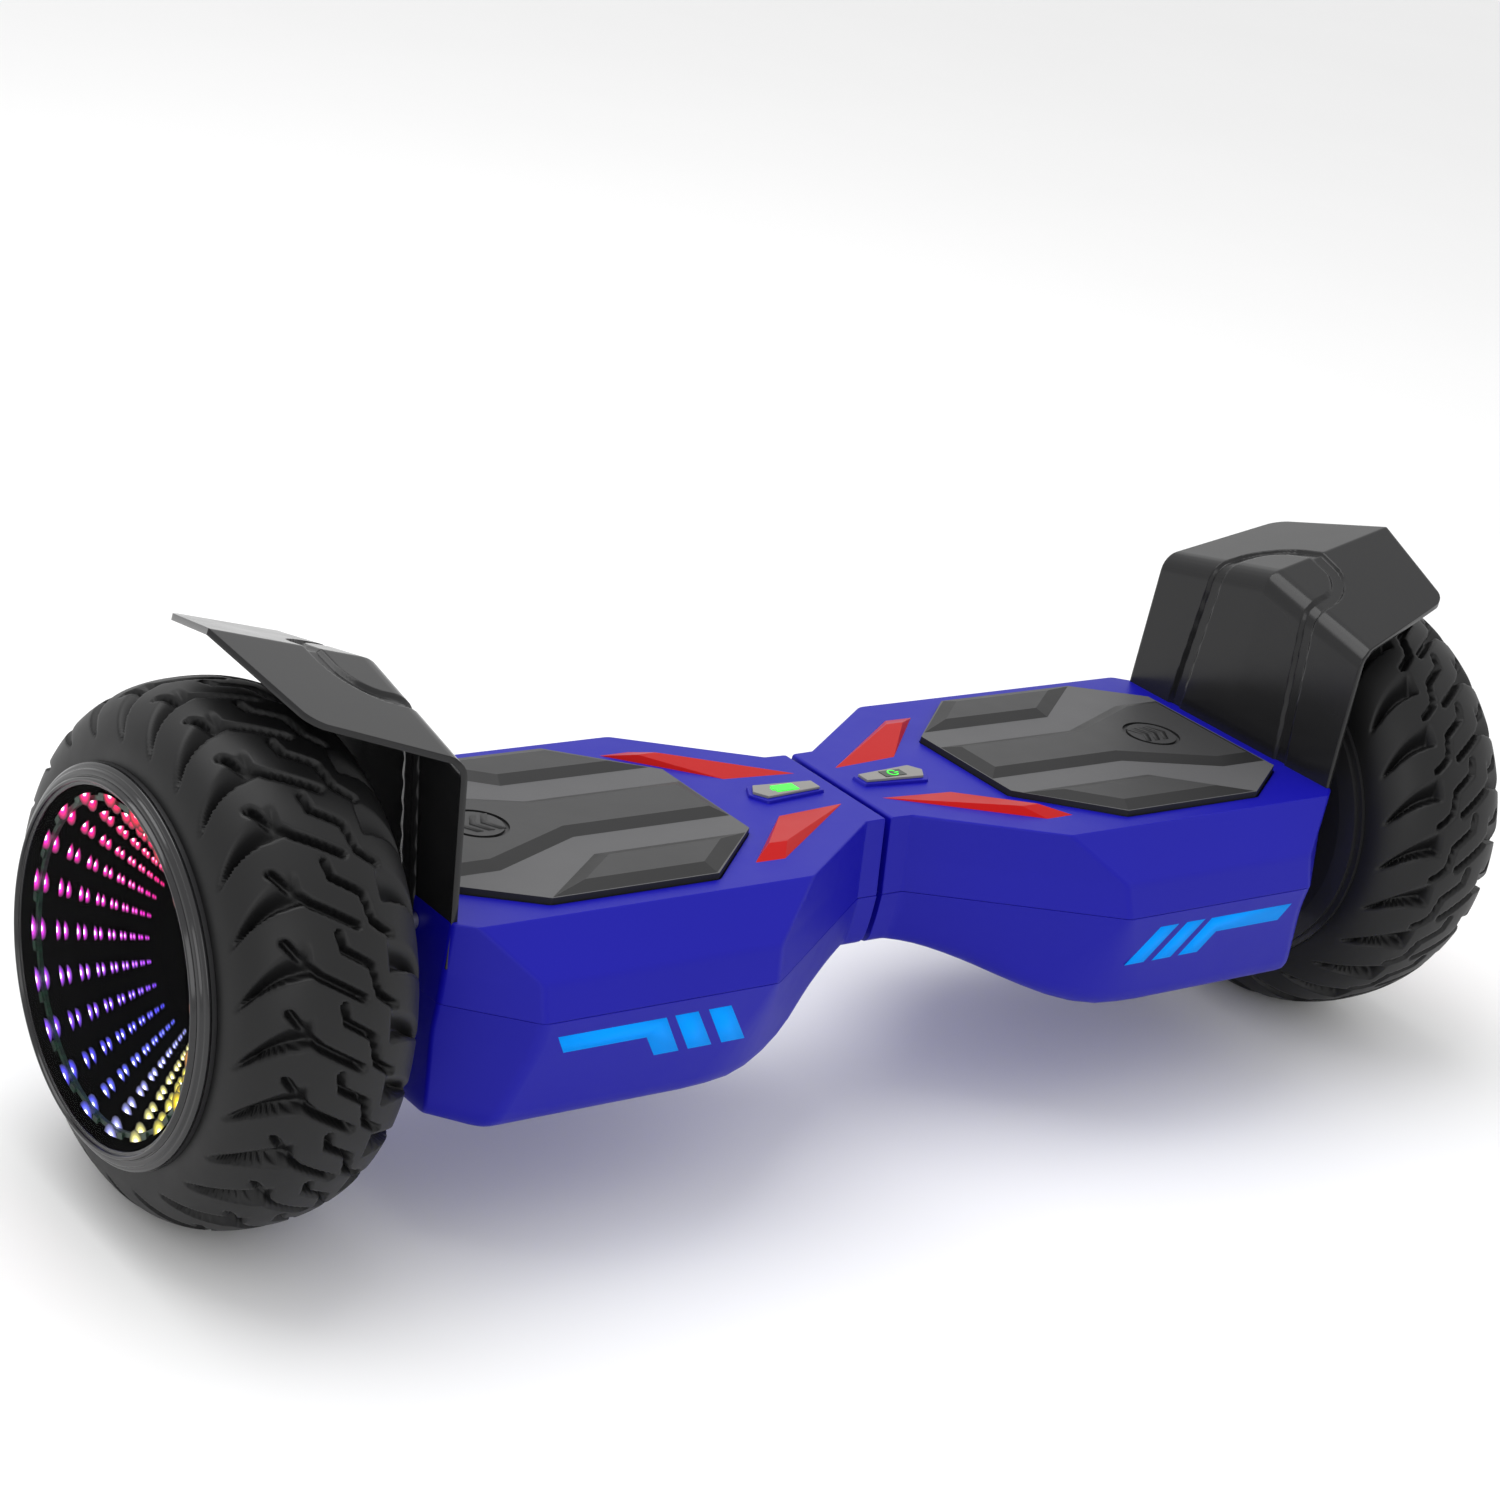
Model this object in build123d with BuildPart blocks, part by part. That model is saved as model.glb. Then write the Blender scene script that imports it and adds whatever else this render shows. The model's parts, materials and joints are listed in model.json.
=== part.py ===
from build123d import *
from math import atan2, cos, degrees, hypot, radians, sin
import os

# Self-balancing two-wheel board. Two mirrored halves twist about a tube on the axle line.
# X runs along the axle, Y across the deck, Z up from the ground. The origin is on the
# ground, under the middle of the board. Every right-hand piece is drawn at positive X, and
# the left-hand one is its mirror image.

os.makedirs("parts", exist_ok=True)

# ---- Driving dimensions, millimetres -------------------------------------------------------

# wheels
TYRE_R = 108.0  # 8.5 inch tyre, ground to axle
TYRE_WIDTH = 82.0
TYRE_WALL = 9.0
TYRE_SQUARENESS = 2.3  # exponent of the tread profile: 2 is an ellipse
RIM_R = 76.0  # bead seat
RIM_LIP = 3.0
WHEEL_GAP = 21.0  # end face of the body to the inner sidewall
DRUM_WALL = 3.0
LAMP_DEPTH = 40.0  # length of the light tunnel in the outer face
LAMP_R = 72.0  # smoked window
LAMP_COUNT = 20
WINDOW_T = 2.4
MAGNET_COUNT = 20
SLOT_COUNT = 18
STATOR_T = 24.0

# body
HALF_LENGTH = 245.0  # middle of the board to the end face
SEAM_GAP = 3.0
WALL = 3.0
DECK_RISE = 35.5  # deck above the axle line, which is also the parting line
SHOULDER_RISE = 15.0
BELLY_DROP = 52.5
WAIST_DROP = 27.0
DECK_HALF = 76.0  # half widths across Y at deck, shoulder, belt and belly
SHOULDER_HALF = 92.4
BELT_HALF = 96.5
BELLY_HALF = 85.0
NECK_HALF = 39.5  # half width at the seam: belt, deck and belly
NECK_DECK_HALF = 36.0
NECK_BELLY_HALF = 35.5
FLARE_START = 12.7  # distance from the middle where the neck starts to widen
FLARE_RUN = 86.2
END_RUN = 31.0  # length of the slanted end facet
END_HALF = 67.5
END_DECK_HALF = 69.6
BELLY_CORNER_R = 8.0
BELLY_SLOPE_EXTRA = 12.0  # the belly curve runs this far past the flare

# foot pads
PAD_START = 74.0  # distance from the middle
PAD_LENGTH = 157.0
PAD_NOSE_HALF = 32.0
PAD_HALF = 66.4
PAD_NOSE_RUN = 41.0
PAD_TAIL_RUN = 34.0
PAD_TAIL_HALF = 44.0
PAD_PROUD = 2.7
PAD_T = 9.2
PAD_RELIEF = 2.4  # raised bars above the slab
PAD_BEVEL = 6.5
PAD_TRAVEL = 1.2
PAD_GAP = 0.8  # around the pad, in the cover's opening
PAD_EDGE = 0.6  # flat margin of the slab outside its raised bars
PAD_BAR_INNER = 35.5  # inner edges of the front and back bars
ISLAND_HALF = 18.5  # half width of the raised middle, and of its wide tail
ISLAND_TAIL_HALF = 38.0
ISLAND_NECK_RUN = 76.0  # the tail starts to widen this far from the pad's outer end
ISLAND_TAIL_RUN = 28.0
EMBLEM_R = 14.0
EMBLEM_RUN = 40.0  # middle of the round emblem from the pad's outer end

# trims and indicators
TRIM_RISE = 3.0
TRIM_SINK = 0.8
BADGE_RISE = 1.4
PLATE_T = 1.2
BADGE_START = 13.5
BADGE_LENGTH = 34.5
BADGE_MARGIN = 2.6

# fenders
FENDER_T = 3.0
FENDER_OVER = 6.0  # bend of the inner plate above the top of the tyre, on the centre line
FENDER_LEAN = 4.5
FENDER_SHORT = 24.0  # the roof's tip stops this far inside the tyre's outer sidewall
FENDER_LIFT = 19.5  # climb of the roof from the bend to its tip
FENDER_FALL = 0.215  # fall of the roof towards front and back, per millimetre
FENDER_TIP_CUT = 15.0  # how far the two outer corners stand back from the tip
FENDER_OUTER_HALF = 58.0
FENDER_BEND_R = 6.0
FENDER_FOOT = 20.0

# running gear and inside
AXLE_R = 8.0
AXLE_BORE_R = 4.0
AXLE_GRIP = 42.0  # length held in the frame
BEARING_R = 18.0
BEARING_W = 9.0
RACE_T = 3.0
TUBE_R = 12.0
TUBE_WALL = 3.5
TUBE_HALF = 48.0
BUSH_T = 3.0
COLLAR_T = 5.0
COLLAR_LENGTH = 36.0
FRAME_T = 4.0
FRAME_RISE = 10.0  # underside of the chassis plate above the axle line
SCREW_R = 2.0
SCREW_HEAD_R = 3.8
SCREW_BITE = 10.0  # length of a cover screw in the top cover
BOSS_R = 4.5
BATTERY = (120.0, 78.0, 42.0)
BOARD = (78.0, 84.0, 1.6)
SPEAKER_R = 18.0

# rear wall fittings
PORT_X = 160.0
PORT_DROP = 25.0
PORT_R = 9.0
SOCKET_LENGTH = 16.0
SOCKET_DEPTH = 12.0
SOCKET_WALL = 1.6
PIN_LENGTH = 6.5
PIN_RING_R = 3.4
PIN_R = 0.9
CAP_R = 12.0
CAP_T = 2.5
BUTTON_R = 7.0
CUP_DEPTH = 12.0
CUP_WALL = 2.5

# clearances
SLIDE = 0.3  # between pieces that move past each other
FIT = 0.1  # between pieces that are slipped together

# ---- Places worked out from the driving dimensions -----------------------------------------

AXLE_Z = TYRE_R
DECK_Z = AXLE_Z + DECK_RISE
BELLY_Z = AXLE_Z - BELLY_DROP
WAIST_Z = AXLE_Z - WAIST_DROP
SEAM_X = SEAM_GAP / 2
FLARE_END = FLARE_START + FLARE_RUN
END_START = HALF_LENGTH - END_RUN
BELLY_END = FLARE_END + BELLY_SLOPE_EXTRA
TYRE_IN = HALF_LENGTH + WHEEL_GAP
TYRE_OUT = TYRE_IN + TYRE_WIDTH
DRUM_IN = TYRE_IN - 2
DRUM_OUT = TYRE_OUT + 2
LAMP_BACK = DRUM_OUT + 3 - LAMP_DEPTH
WEB_IN = LAMP_BACK - BEARING_W - WALL
PAD_TOP = DECK_Z + PAD_PROUD
PAD_UNDER = PAD_TOP - PAD_T
PLATE_Z = AXLE_Z + FRAME_RISE
PLATE_TOP = PLATE_Z + FRAME_T
MAGNET_OUT = RIM_R - 7
MAGNET_IN = MAGNET_OUT - 3.5
STATOR_R = MAGNET_IN - 0.8
STATOR_IN = DRUM_IN + 12
COVER_SCREWS = [(34, 0.62), (FLARE_END + 12, 0.8), (END_START - 12, 0.8)]


def facet(a, b, c):
    """Plane through three points of the front (negative Y) side, facing outwards."""
    a, b, c = Vector(*a), Vector(*b), Vector(*c)
    normal = (b - a).cross(c - a).normalized()
    return Plane(origin=a, z_dir=-normal if normal.Y > 0 else normal)


def front_and_back(plane):
    """The plane and its mirror image across the board's long middle plane."""
    o, n = plane.origin, plane.z_dir
    return plane, Plane(origin=(o.X, -o.Y, o.Z), z_dir=(n.X, -n.Y, n.Z))


def belt_half(x):
    """Half width of the body at the parting line."""
    if x <= FLARE_START:
        return NECK_HALF
    share = min(1.0, (x - FLARE_START) / FLARE_RUN)
    return NECK_HALF + (BELT_HALF - NECK_HALF) * share


def outline(points):
    """Closed outline from its front half, mirrored to the back."""
    back = [(x, -y) for x, y in reversed(points) if abs(y) > 0.001]
    return Polyline(*points, *back, close=True)


def flank_wedge(level, neck_half, inset):
    """The block outside the neck and the flare, cut away to leave the waist. level is the
    height at which the neck is neck_half wide."""
    run = (BELT_HALF - NECK_HALF) / FLARE_RUN
    z = AXLE_Z
    neck = facet((0, -NECK_HALF, z), (1, -NECK_HALF, z), (0, -neck_half, level))
    flare = facet(
        (FLARE_START, -NECK_HALF, z),
        (FLARE_START + 1, -NECK_HALF - run, z),
        (FLARE_START, -neck_half, level),
    )
    with BuildPart() as wedge:
        with Locations((HALF_LENGTH, 0, AXLE_Z)):
            Box(4 * HALF_LENGTH, 4 * HALF_LENGTH, 4 * HALF_LENGTH)
        for plane in (neck.offset(-inset), flare.offset(-inset)):
            split(bisect_by=plane, keep=Keep.TOP)
    return wedge.part


def trimmed_block(section, level, neck_half, end_half, inset):
    """Section across the body carried along X, cut to the plan outline."""
    end = facet(
        (END_START, -BELT_HALF, AXLE_Z),
        (HALF_LENGTH, -END_HALF, AXLE_Z),
        (HALF_LENGTH, -end_half, level),
    ).offset(-inset)
    wedge = flank_wedge(level, neck_half, inset)
    with BuildPart() as block:
        with BuildSketch(Plane.YZ.offset(SEAM_X + inset)):
            with BuildLine():
                front = [(-y, z) for y, z in section]
                Polyline(*front, *[(-y, z) for y, z in reversed(front)], close=True)
            make_face()
            if inset:
                offset(amount=-inset, kind=Kind.INTERSECTION, mode=Mode.REPLACE)
        extrude(amount=HALF_LENGTH - SEAM_X - 2 * inset)
        for plane in front_and_back(end):
            split(bisect_by=plane, keep=Keep.BOTTOM)
        add(wedge, mode=Mode.SUBTRACT)
        mirror(wedge, about=Plane.XZ, mode=Mode.SUBTRACT)
    return block.part


def upper_hull(inset):
    """Solid upper half of the body, from the parting line to the deck."""
    reach = 2 * WALL
    section = [
        (BELT_HALF, AXLE_Z - reach),
        (BELT_HALF, AXLE_Z),
        (SHOULDER_HALF, AXLE_Z + SHOULDER_RISE),
        (DECK_HALF, DECK_Z),
    ]
    block = trimmed_block(section, DECK_Z, NECK_DECK_HALF, END_DECK_HALF, inset)
    with BuildPart() as hull:
        add(block)
        split(bisect_by=Plane.XY.offset(AXLE_Z), keep=Keep.TOP)
    return hull.part


def lower_hull(inset):
    """Solid lower half of the body. Its belly climbs in an S-curve to the waist."""
    reach = 2 * WALL
    section = [(BELLY_HALF, BELLY_Z), (BELT_HALF, AXLE_Z), (BELT_HALF, AXLE_Z + reach)]
    level = WAIST_Z
    block = trimmed_block(section, level, NECK_BELLY_HALF, END_HALF - 1, inset)
    with BuildPart() as hull:
        add(block)
        with BuildSketch(Plane.XZ):
            with BuildLine():
                high, low = WAIST_Z + inset, BELLY_Z + inset
                middle = ((FLARE_START + BELLY_END) / 2, (high + low) / 2)
                past = HALF_LENGTH + WALL
                waist = Line((0, high), (FLARE_START, high))
                TangentArc(waist @ 1, middle, tangent=(1, 0))
                TangentArc((BELLY_END, low), middle, tangent=(-1, 0))
                Polyline((BELLY_END, low), (past, low), (past, 0), (0, 0), waist @ 0)
            make_face()
        extrude(amount=2 * BELT_HALF, both=True, mode=Mode.SUBTRACT)
        split(bisect_by=Plane.XY.offset(AXLE_Z), keep=Keep.BOTTOM)
        if inset == 0:
            belly = [f for f in hull.faces() if f.normal_at().Z < -0.6]
            fillet([e for f in belly for e in f.edges() if off_middle(e)], BELLY_CORNER_R)
    return hull.part


def off_middle(edge):
    """True for an edge that stays on one side of the long middle plane."""
    return all(abs(v.Y) > BELLY_CORNER_R for v in edge.vertices()) and abs(edge.center().Y) > 1


def pad_outline():
    """Front half of the pad's outline."""
    end = PAD_START + PAD_LENGTH
    return [
        (PAD_START, -PAD_NOSE_HALF),
        (PAD_START + PAD_NOSE_RUN, -PAD_HALF),
        (end - PAD_TAIL_RUN, -PAD_HALF),
        (end, -PAD_TAIL_HALF),
    ]


def trim_corners():
    """Corners of the front trim: inner tip, outer bend, far tip, inner bend."""
    return [(11, -16.8), (74, -58), (89.5, -57.8), (48.5, -20.2)]


def badge_outline(grow):
    """Front half of the indicator's outline, grown by a margin."""
    end = BADGE_START + BADGE_LENGTH
    return [
        (BADGE_START - grow, -3.4 - grow / 2),
        (end - 4 + grow / 2, -6 - grow),
        (end + grow, 0),
    ]


def rear_plane():
    """Plane on the slanted rear wall of the lower cover, facing outwards."""
    lean = (BELT_HALF - BELLY_HALF) / BELLY_DROP
    tilt = degrees(atan2(lean, 1))
    origin = (PORT_X, BELT_HALF - lean * PORT_DROP, AXLE_Z - PORT_DROP)
    normal = (0, cos(radians(tilt)), -sin(radians(tilt)))
    return Plane(origin=origin, x_dir=(1, 0, 0), z_dir=normal)


def wheel_plane(x):
    """Plane across the axle line at distance x from the middle."""
    return Plane(origin=(x, 0, AXLE_Z), x_dir=(0, 1, 0), z_dir=(1, 0, 0))


def lathe(points):
    """Solid of revolution about the axle line. points are (x, radius)."""
    with BuildPart() as turned:
        with BuildSketch(Plane.XZ):
            with BuildLine():
                Polyline(*[(x, AXLE_Z + r) for x, r in points], close=True)
            make_face()
        revolve(axis=Axis((0, 0, AXLE_Z), (1, 0, 0)))
    return turned.part


def ring(x, width, inner, outer):
    """Plain ring about the axle line."""
    with BuildPart() as hoop:
        with BuildSketch(wheel_plane(x)):
            Circle(outer)
            if inner:
                Circle(inner, mode=Mode.SUBTRACT)
        extrude(amount=width)
    return hoop.part


def save(part, name):
    """Label a finished piece and write it."""
    part.label = name
    export_step(part, f"parts/{name}.step")


def save_left(part, name):
    """Write the mirror image of a right-hand piece."""
    with BuildPart() as left:
        mirror(part, about=Plane.YZ)
    save(left.part, name)


def save_pair(part, name):
    """Write a right-hand piece and its mirror image."""
    save(part, f"{name}_right")
    save_left(part, f"{name}_left")


# ---- Body covers ---------------------------------------------------------------------------


def screw_places():
    """Cover screws, front and back, (x, y)."""
    return [(x, s * belt_half(x) * k) for x, k in COVER_SCREWS for s in (-1, 1)]


def screw_bosses(hull, reach):
    """Posts at the cover screws, from the parting line to the cover's skin."""
    with BuildPart() as posts:
        with BuildSketch(Plane.XY.offset(AXLE_Z)):
            with Locations(*screw_places()):
                Circle(BOSS_R)
        extrude(amount=reach)
        add(hull, mode=Mode.INTERSECT)
    return posts.part


def top_cover():
    outer, inner = upper_hull(0), upper_hull(WALL)
    with BuildPart() as cover:
        add(outer)
        add(inner, mode=Mode.SUBTRACT)
        # bosses over the cover screws
        add(screw_bosses(outer, DECK_RISE))
        with BuildSketch(Plane.XY.offset(AXLE_Z)):
            with Locations(*screw_places()):
                Circle(SCREW_R)
        extrude(amount=SCREW_BITE + 2, mode=Mode.SUBTRACT)
        # lip under the deck that the foot pad drops into
        with BuildSketch(Plane.XY.offset(DECK_Z)):
            with BuildLine():
                outline(pad_outline())
            make_face()
            offset(amount=PAD_GAP, kind=Kind.INTERSECTION, mode=Mode.REPLACE)
        extrude(amount=-2 * WALL, mode=Mode.SUBTRACT)
        # pockets for the two trims
        with BuildSketch(Plane.XY.offset(DECK_Z - TRIM_SINK)):
            with BuildLine():
                Polyline(*trim_corners(), close=True)
            make_face()
            offset(amount=FIT, kind=Kind.INTERSECTION, mode=Mode.REPLACE)
            mirror(about=Plane.XZ)
        extrude(amount=TRIM_SINK + 1, mode=Mode.SUBTRACT)
        # plinth of the indicator
        with BuildSketch(Plane.XY.offset(DECK_Z)):
            with BuildLine():
                outline(badge_outline(BADGE_MARGIN))
            make_face()
        extrude(amount=BADGE_RISE, taper=30)
        # rebate for the fender, axle hole and pivot hole
        with BuildSketch(wheel_plane(HALF_LENGTH - FENDER_T - FIT)):
            with Locations((0, DECK_RISE - FENDER_FOOT / 2)):
                Rectangle(2 * BELT_HALF, FENDER_FOOT + FIT)
        extrude(amount=FENDER_T + 1, mode=Mode.SUBTRACT)
        with BuildSketch(wheel_plane(0)):
            Circle(TUBE_R + 1.5)
        extrude(amount=SEAM_X + 2 * WALL, mode=Mode.SUBTRACT)
        with BuildSketch(wheel_plane(HALF_LENGTH - 3 * WALL)):
            Circle(AXLE_R + 2)
        extrude(amount=4 * WALL, mode=Mode.SUBTRACT)
    return cover.part


def bottom_cover(side):
    outer, inner = lower_hull(0), lower_hull(WALL)
    with BuildPart() as cover:
        add(outer)
        add(inner, mode=Mode.SUBTRACT)
        with BuildSketch(wheel_plane(0)):
            Circle(TUBE_R + 1.5)
        extrude(amount=SEAM_X + 2 * WALL, mode=Mode.SUBTRACT)
        with BuildSketch(wheel_plane(HALF_LENGTH - 3 * WALL)):
            Circle(AXLE_R + 2)
        extrude(amount=4 * WALL, mode=Mode.SUBTRACT)
    with BuildPart() as whole:
        add(cover.part)
        add(screw_bosses(outer, -BELLY_DROP))
        for x, y in screw_places():
            with BuildSketch(Plane.XY.offset(AXLE_Z)):
                with Locations((x, y)):
                    Circle(SCREW_R + FIT)
            extrude(amount=-2 * BELLY_DROP, mode=Mode.SUBTRACT)
            with BuildSketch(Plane.XY.offset(screw_seat(x))):
                with Locations((x, y)):
                    Circle(SCREW_HEAD_R + FIT)
            extrude(amount=-BELLY_DROP, mode=Mode.SUBTRACT)
        if side == "right":
            with BuildSketch(rear_plane()):
                Circle(PORT_R + FIT)
            extrude(amount=3 * WALL, both=True, mode=Mode.SUBTRACT)
        else:
            # cup that guides the power button
            with BuildSketch(rear_plane().offset(-CUP_DEPTH - CUP_WALL)):
                Circle(BUTTON_R + CUP_WALL)
            extrude(amount=CUP_DEPTH + CUP_WALL - WALL / 2)
            with BuildSketch(rear_plane().offset(-CUP_DEPTH)):
                Circle(BUTTON_R + SLIDE)
            extrude(amount=CUP_DEPTH + WALL, mode=Mode.SUBTRACT)
            with BuildSketch(Plane.XY.offset(BELLY_Z)):
                with Locations((speaker_x(), 0)):
                    Circle(1.6)
                    with PolarLocations(SPEAKER_R * 0.36, 6):
                        Circle(1.6)
                    with PolarLocations(SPEAKER_R * 0.72, 12):
                        Circle(1.6)
            extrude(amount=2 * WALL, both=True, mode=Mode.SUBTRACT)
    return whole.part


def belly_height(x):
    """Height of the belly at x: flat waist, S-curve and flat belly."""
    share = min(1.0, max(0.0, (x - FLARE_START) / (BELLY_END - FLARE_START)))
    return WAIST_Z + (BELLY_Z - WAIST_Z) * share * share * (3 - 2 * share)


def screw_seat(x):
    """Height of the seat under a cover screw's head."""
    return belly_height(x) + 12


def screws():
    """Cover screws, fender screws and clamp screws, as separate solids of one group."""
    with BuildPart() as group:
        for x, y in screw_places():
            seat = screw_seat(x)
            with BuildSketch(Plane.XY.offset(seat)):
                with Locations((x, y)):
                    Circle(SCREW_R - 3 * FIT)
            extrude(amount=AXLE_Z + SCREW_BITE - seat)
            with BuildSketch(Plane.XY.offset(seat)):
                with Locations((x, y)):
                    Circle(SCREW_HEAD_R - FIT)
                    RegularPolygon(1.6, 6, mode=Mode.SUBTRACT)
            extrude(amount=-3.5)
        for y, z in fender_screw_places():
            with BuildSketch(wheel_plane(HALF_LENGTH + SLIDE)):
                with Locations((y, z - AXLE_Z)):
                    Circle(SCREW_HEAD_R)
                    RegularPolygon(1.6, 6, mode=Mode.SUBTRACT)
            extrude(amount=2.2)
            with BuildSketch(wheel_plane(HALF_LENGTH + SLIDE)):
                with Locations((y, z - AXLE_Z)):
                    Circle(SCREW_R - FIT)
            extrude(amount=-8)
        for x, y in clamp_screw_places():
            with BuildSketch(Plane.XY.offset(AXLE_Z - 14)):
                with Locations((x, y)):
                    Circle(SCREW_HEAD_R)
                    RegularPolygon(1.6, 6, mode=Mode.SUBTRACT)
            extrude(amount=-3)
            with BuildSketch(Plane.XY.offset(AXLE_Z - 14)):
                with Locations((x, y)):
                    Circle(SCREW_R - FIT)
            extrude(amount=22)
    return group.part


def fender_screw_places():
    """Screws through the fender's foot into the chassis, (y, z)."""
    z = DECK_Z - FENDER_FOOT / 2
    return [(y, z) for y in (-44, -16, 16, 44)]


def clamp_screw_places():
    """Screws that pull the axle clamp up, (x, y)."""
    middle = HALF_LENGTH - WALL - AXLE_GRIP / 2 - 6
    step = AXLE_GRIP / 2 - 7
    return [(middle + a * step, b * 15) for a in (-1, 1) for b in (-1, 1)]


# ---- Trims, indicators and foot pads -------------------------------------------------------


def red_trims():
    """Two low faceted wedges, one each side of the middle line."""
    tip, outer, far, inner = [Vector(x, y, DECK_Z) for x, y in trim_corners()]
    lift = Vector(0, 0, TRIM_RISE)
    near_peak = tip * 0.27 + outer * 0.30 + far * 0.43 + lift
    far_peak = outer * 0.2 + far * 0.55 + inner * 0.25 + lift
    sides = [
        (tip, outer, near_peak),
        (outer, far, far_peak),
        (far, inner, far_peak),
        (inner, tip, near_peak),
    ]
    with BuildPart() as trims:
        with BuildSketch(Plane.XY.offset(DECK_Z - TRIM_SINK)):
            with BuildLine():
                Polyline(*trim_corners(), close=True)
            make_face()
        extrude(amount=TRIM_SINK + TRIM_RISE)
        for start, end, peak in sides:
            slope = (end - start).cross(peak - start)
            split(bisect_by=Plane(origin=start, z_dir=slope), keep=Keep.BOTTOM)
        mirror(about=Plane.XZ)
    return trims.part


def indicator_plate():
    """Grey hexagonal plate on the plinth, with a window for the lens."""
    with BuildPart() as plate:
        with BuildSketch(Plane.XY.offset(DECK_Z + BADGE_RISE)):
            with BuildLine():
                outline(badge_outline(0))
            make_face()
            with Locations((BADGE_START + BADGE_LENGTH / 2, 0)):
                Rectangle(12 + 2 * FIT, 6 + 2 * FIT, mode=Mode.SUBTRACT)
        extrude(amount=PLATE_T)
    return plate.part


def indicator_lens():
    """Clear lens over the indicator lamp."""
    with BuildPart() as lens:
        with BuildSketch(Plane.XY.offset(DECK_Z + BADGE_RISE)):
            with Locations((BADGE_START + BADGE_LENGTH / 2, 0)):
                Rectangle(12, 6)
        extrude(amount=PLATE_T + 0.2)
    return lens.part


def bevelled_bar(points):
    """Raised bar on the pad: its sides lean in by the bevel."""
    with BuildPart() as bar:
        for rise, inset in ((0, 0), (PAD_RELIEF, PAD_BEVEL)):
            with BuildSketch(Plane.XY.offset(PAD_TOP + rise)):
                with BuildLine():
                    Polyline(*points, close=True)
                make_face()
                if inset:
                    offset(amount=-inset, kind=Kind.INTERSECTION, mode=Mode.REPLACE)
        loft(ruled=True)
    return bar.part


def foot_pad():
    """Rubber mat on a stiff plate, with two flags that work the switches."""
    end = PAD_START + PAD_LENGTH
    lean = (PAD_HALF - PAD_NOSE_HALF) / PAD_NOSE_RUN
    start = PAD_START + (PAD_BAR_INNER - PAD_NOSE_HALF) / lean
    edge = PAD_HALF - PAD_EDGE
    front = [
        (start + PAD_EDGE, -PAD_BAR_INNER),
        (PAD_START + PAD_NOSE_RUN + PAD_EDGE, -edge),
        (end - PAD_TAIL_RUN - PAD_EDGE, -edge),
        (end - PAD_TAIL_RUN - PAD_NOSE_RUN, -PAD_BAR_INNER),
    ]
    island = [
        (PAD_START + PAD_EDGE, -ISLAND_HALF),
        (end - ISLAND_NECK_RUN, -ISLAND_HALF),
        (end - ISLAND_TAIL_RUN, -ISLAND_TAIL_HALF),
        (end - PAD_EDGE, -ISLAND_TAIL_HALF),
    ]
    with BuildPart() as pad:
        with BuildSketch(Plane.XY.offset(PAD_UNDER)):
            with BuildLine():
                outline(pad_outline())
            make_face()
        extrude(amount=PAD_T)
        bar = bevelled_bar(front)
        add(bar)
        mirror(bar, about=Plane.XZ)
        add(bevelled_bar(island + [(x, -y) for x, y in reversed(island)]))
        with BuildSketch(Plane.XY.offset(PAD_TOP + PAD_RELIEF)):
            with Locations((end - EMBLEM_RUN, 0)):
                Circle(EMBLEM_R)
                Circle(EMBLEM_R - 2, mode=Mode.SUBTRACT)
        extrude(amount=-PAD_RELIEF / 2, mode=Mode.SUBTRACT)
        for x, y in switch_places():
            with BuildSketch(Plane.XY.offset(PAD_UNDER)):
                with Locations((x, y)):
                    Rectangle(8, 1.6)
            extrude(amount=-(PAD_UNDER - PLATE_TOP - 8))
    return pad.part


def switch_places():
    """Optical switches under the pad, (x, y)."""
    middle = PAD_START + PAD_LENGTH / 2
    return [(middle, -34), (middle, 34)]


def bump_stops():
    """Four rubber stops on the chassis that the pad comes down on."""
    x1, x2 = PAD_START + PAD_NOSE_RUN - 8, PAD_START + PAD_LENGTH - PAD_TAIL_RUN
    height = PAD_UNDER - PAD_TRAVEL - SLIDE - PLATE_TOP
    with BuildPart() as stops:
        with BuildSketch(Plane.XY.offset(PLATE_TOP)):
            with Locations((x1, -46), (x1, 46), (x2, -46), (x2, 46)):
                Circle(7)
        extrude(amount=height, taper=4)
    return stops.part


def sensor_board():
    """Gyroscope board on four spacers, with the two optical switches."""
    middle = PAD_START + PAD_LENGTH / 2
    with BuildPart() as board:
        with BuildSketch(Plane.XY.offset(PLATE_TOP)):
            with Locations((middle, 0)):
                with GridLocations(44, 80, 2, 2):
                    Circle(2.5)
        extrude(amount=2)
        with BuildSketch(Plane.XY.offset(PLATE_TOP + 2)):
            with Locations((middle, 0)):
                Rectangle(54, 90)
        extrude(amount=1.6)
        with BuildSketch(Plane.XY.offset(PLATE_TOP + 3.6)):
            with Locations(*switch_places()):
                Rectangle(10, 9)
            with Locations((middle, 0)):
                Rectangle(12, 12)
        extrude(amount=1.6)
        with BuildSketch(Plane.XY.offset(PLATE_TOP + 5.2)):
            with Locations(*switch_places()):
                Rectangle(10, 9)
                Rectangle(10, 4.4, mode=Mode.SUBTRACT)
        extrude(amount=6)
    return board.part


# ---- Chassis -------------------------------------------------------------------------------


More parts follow.
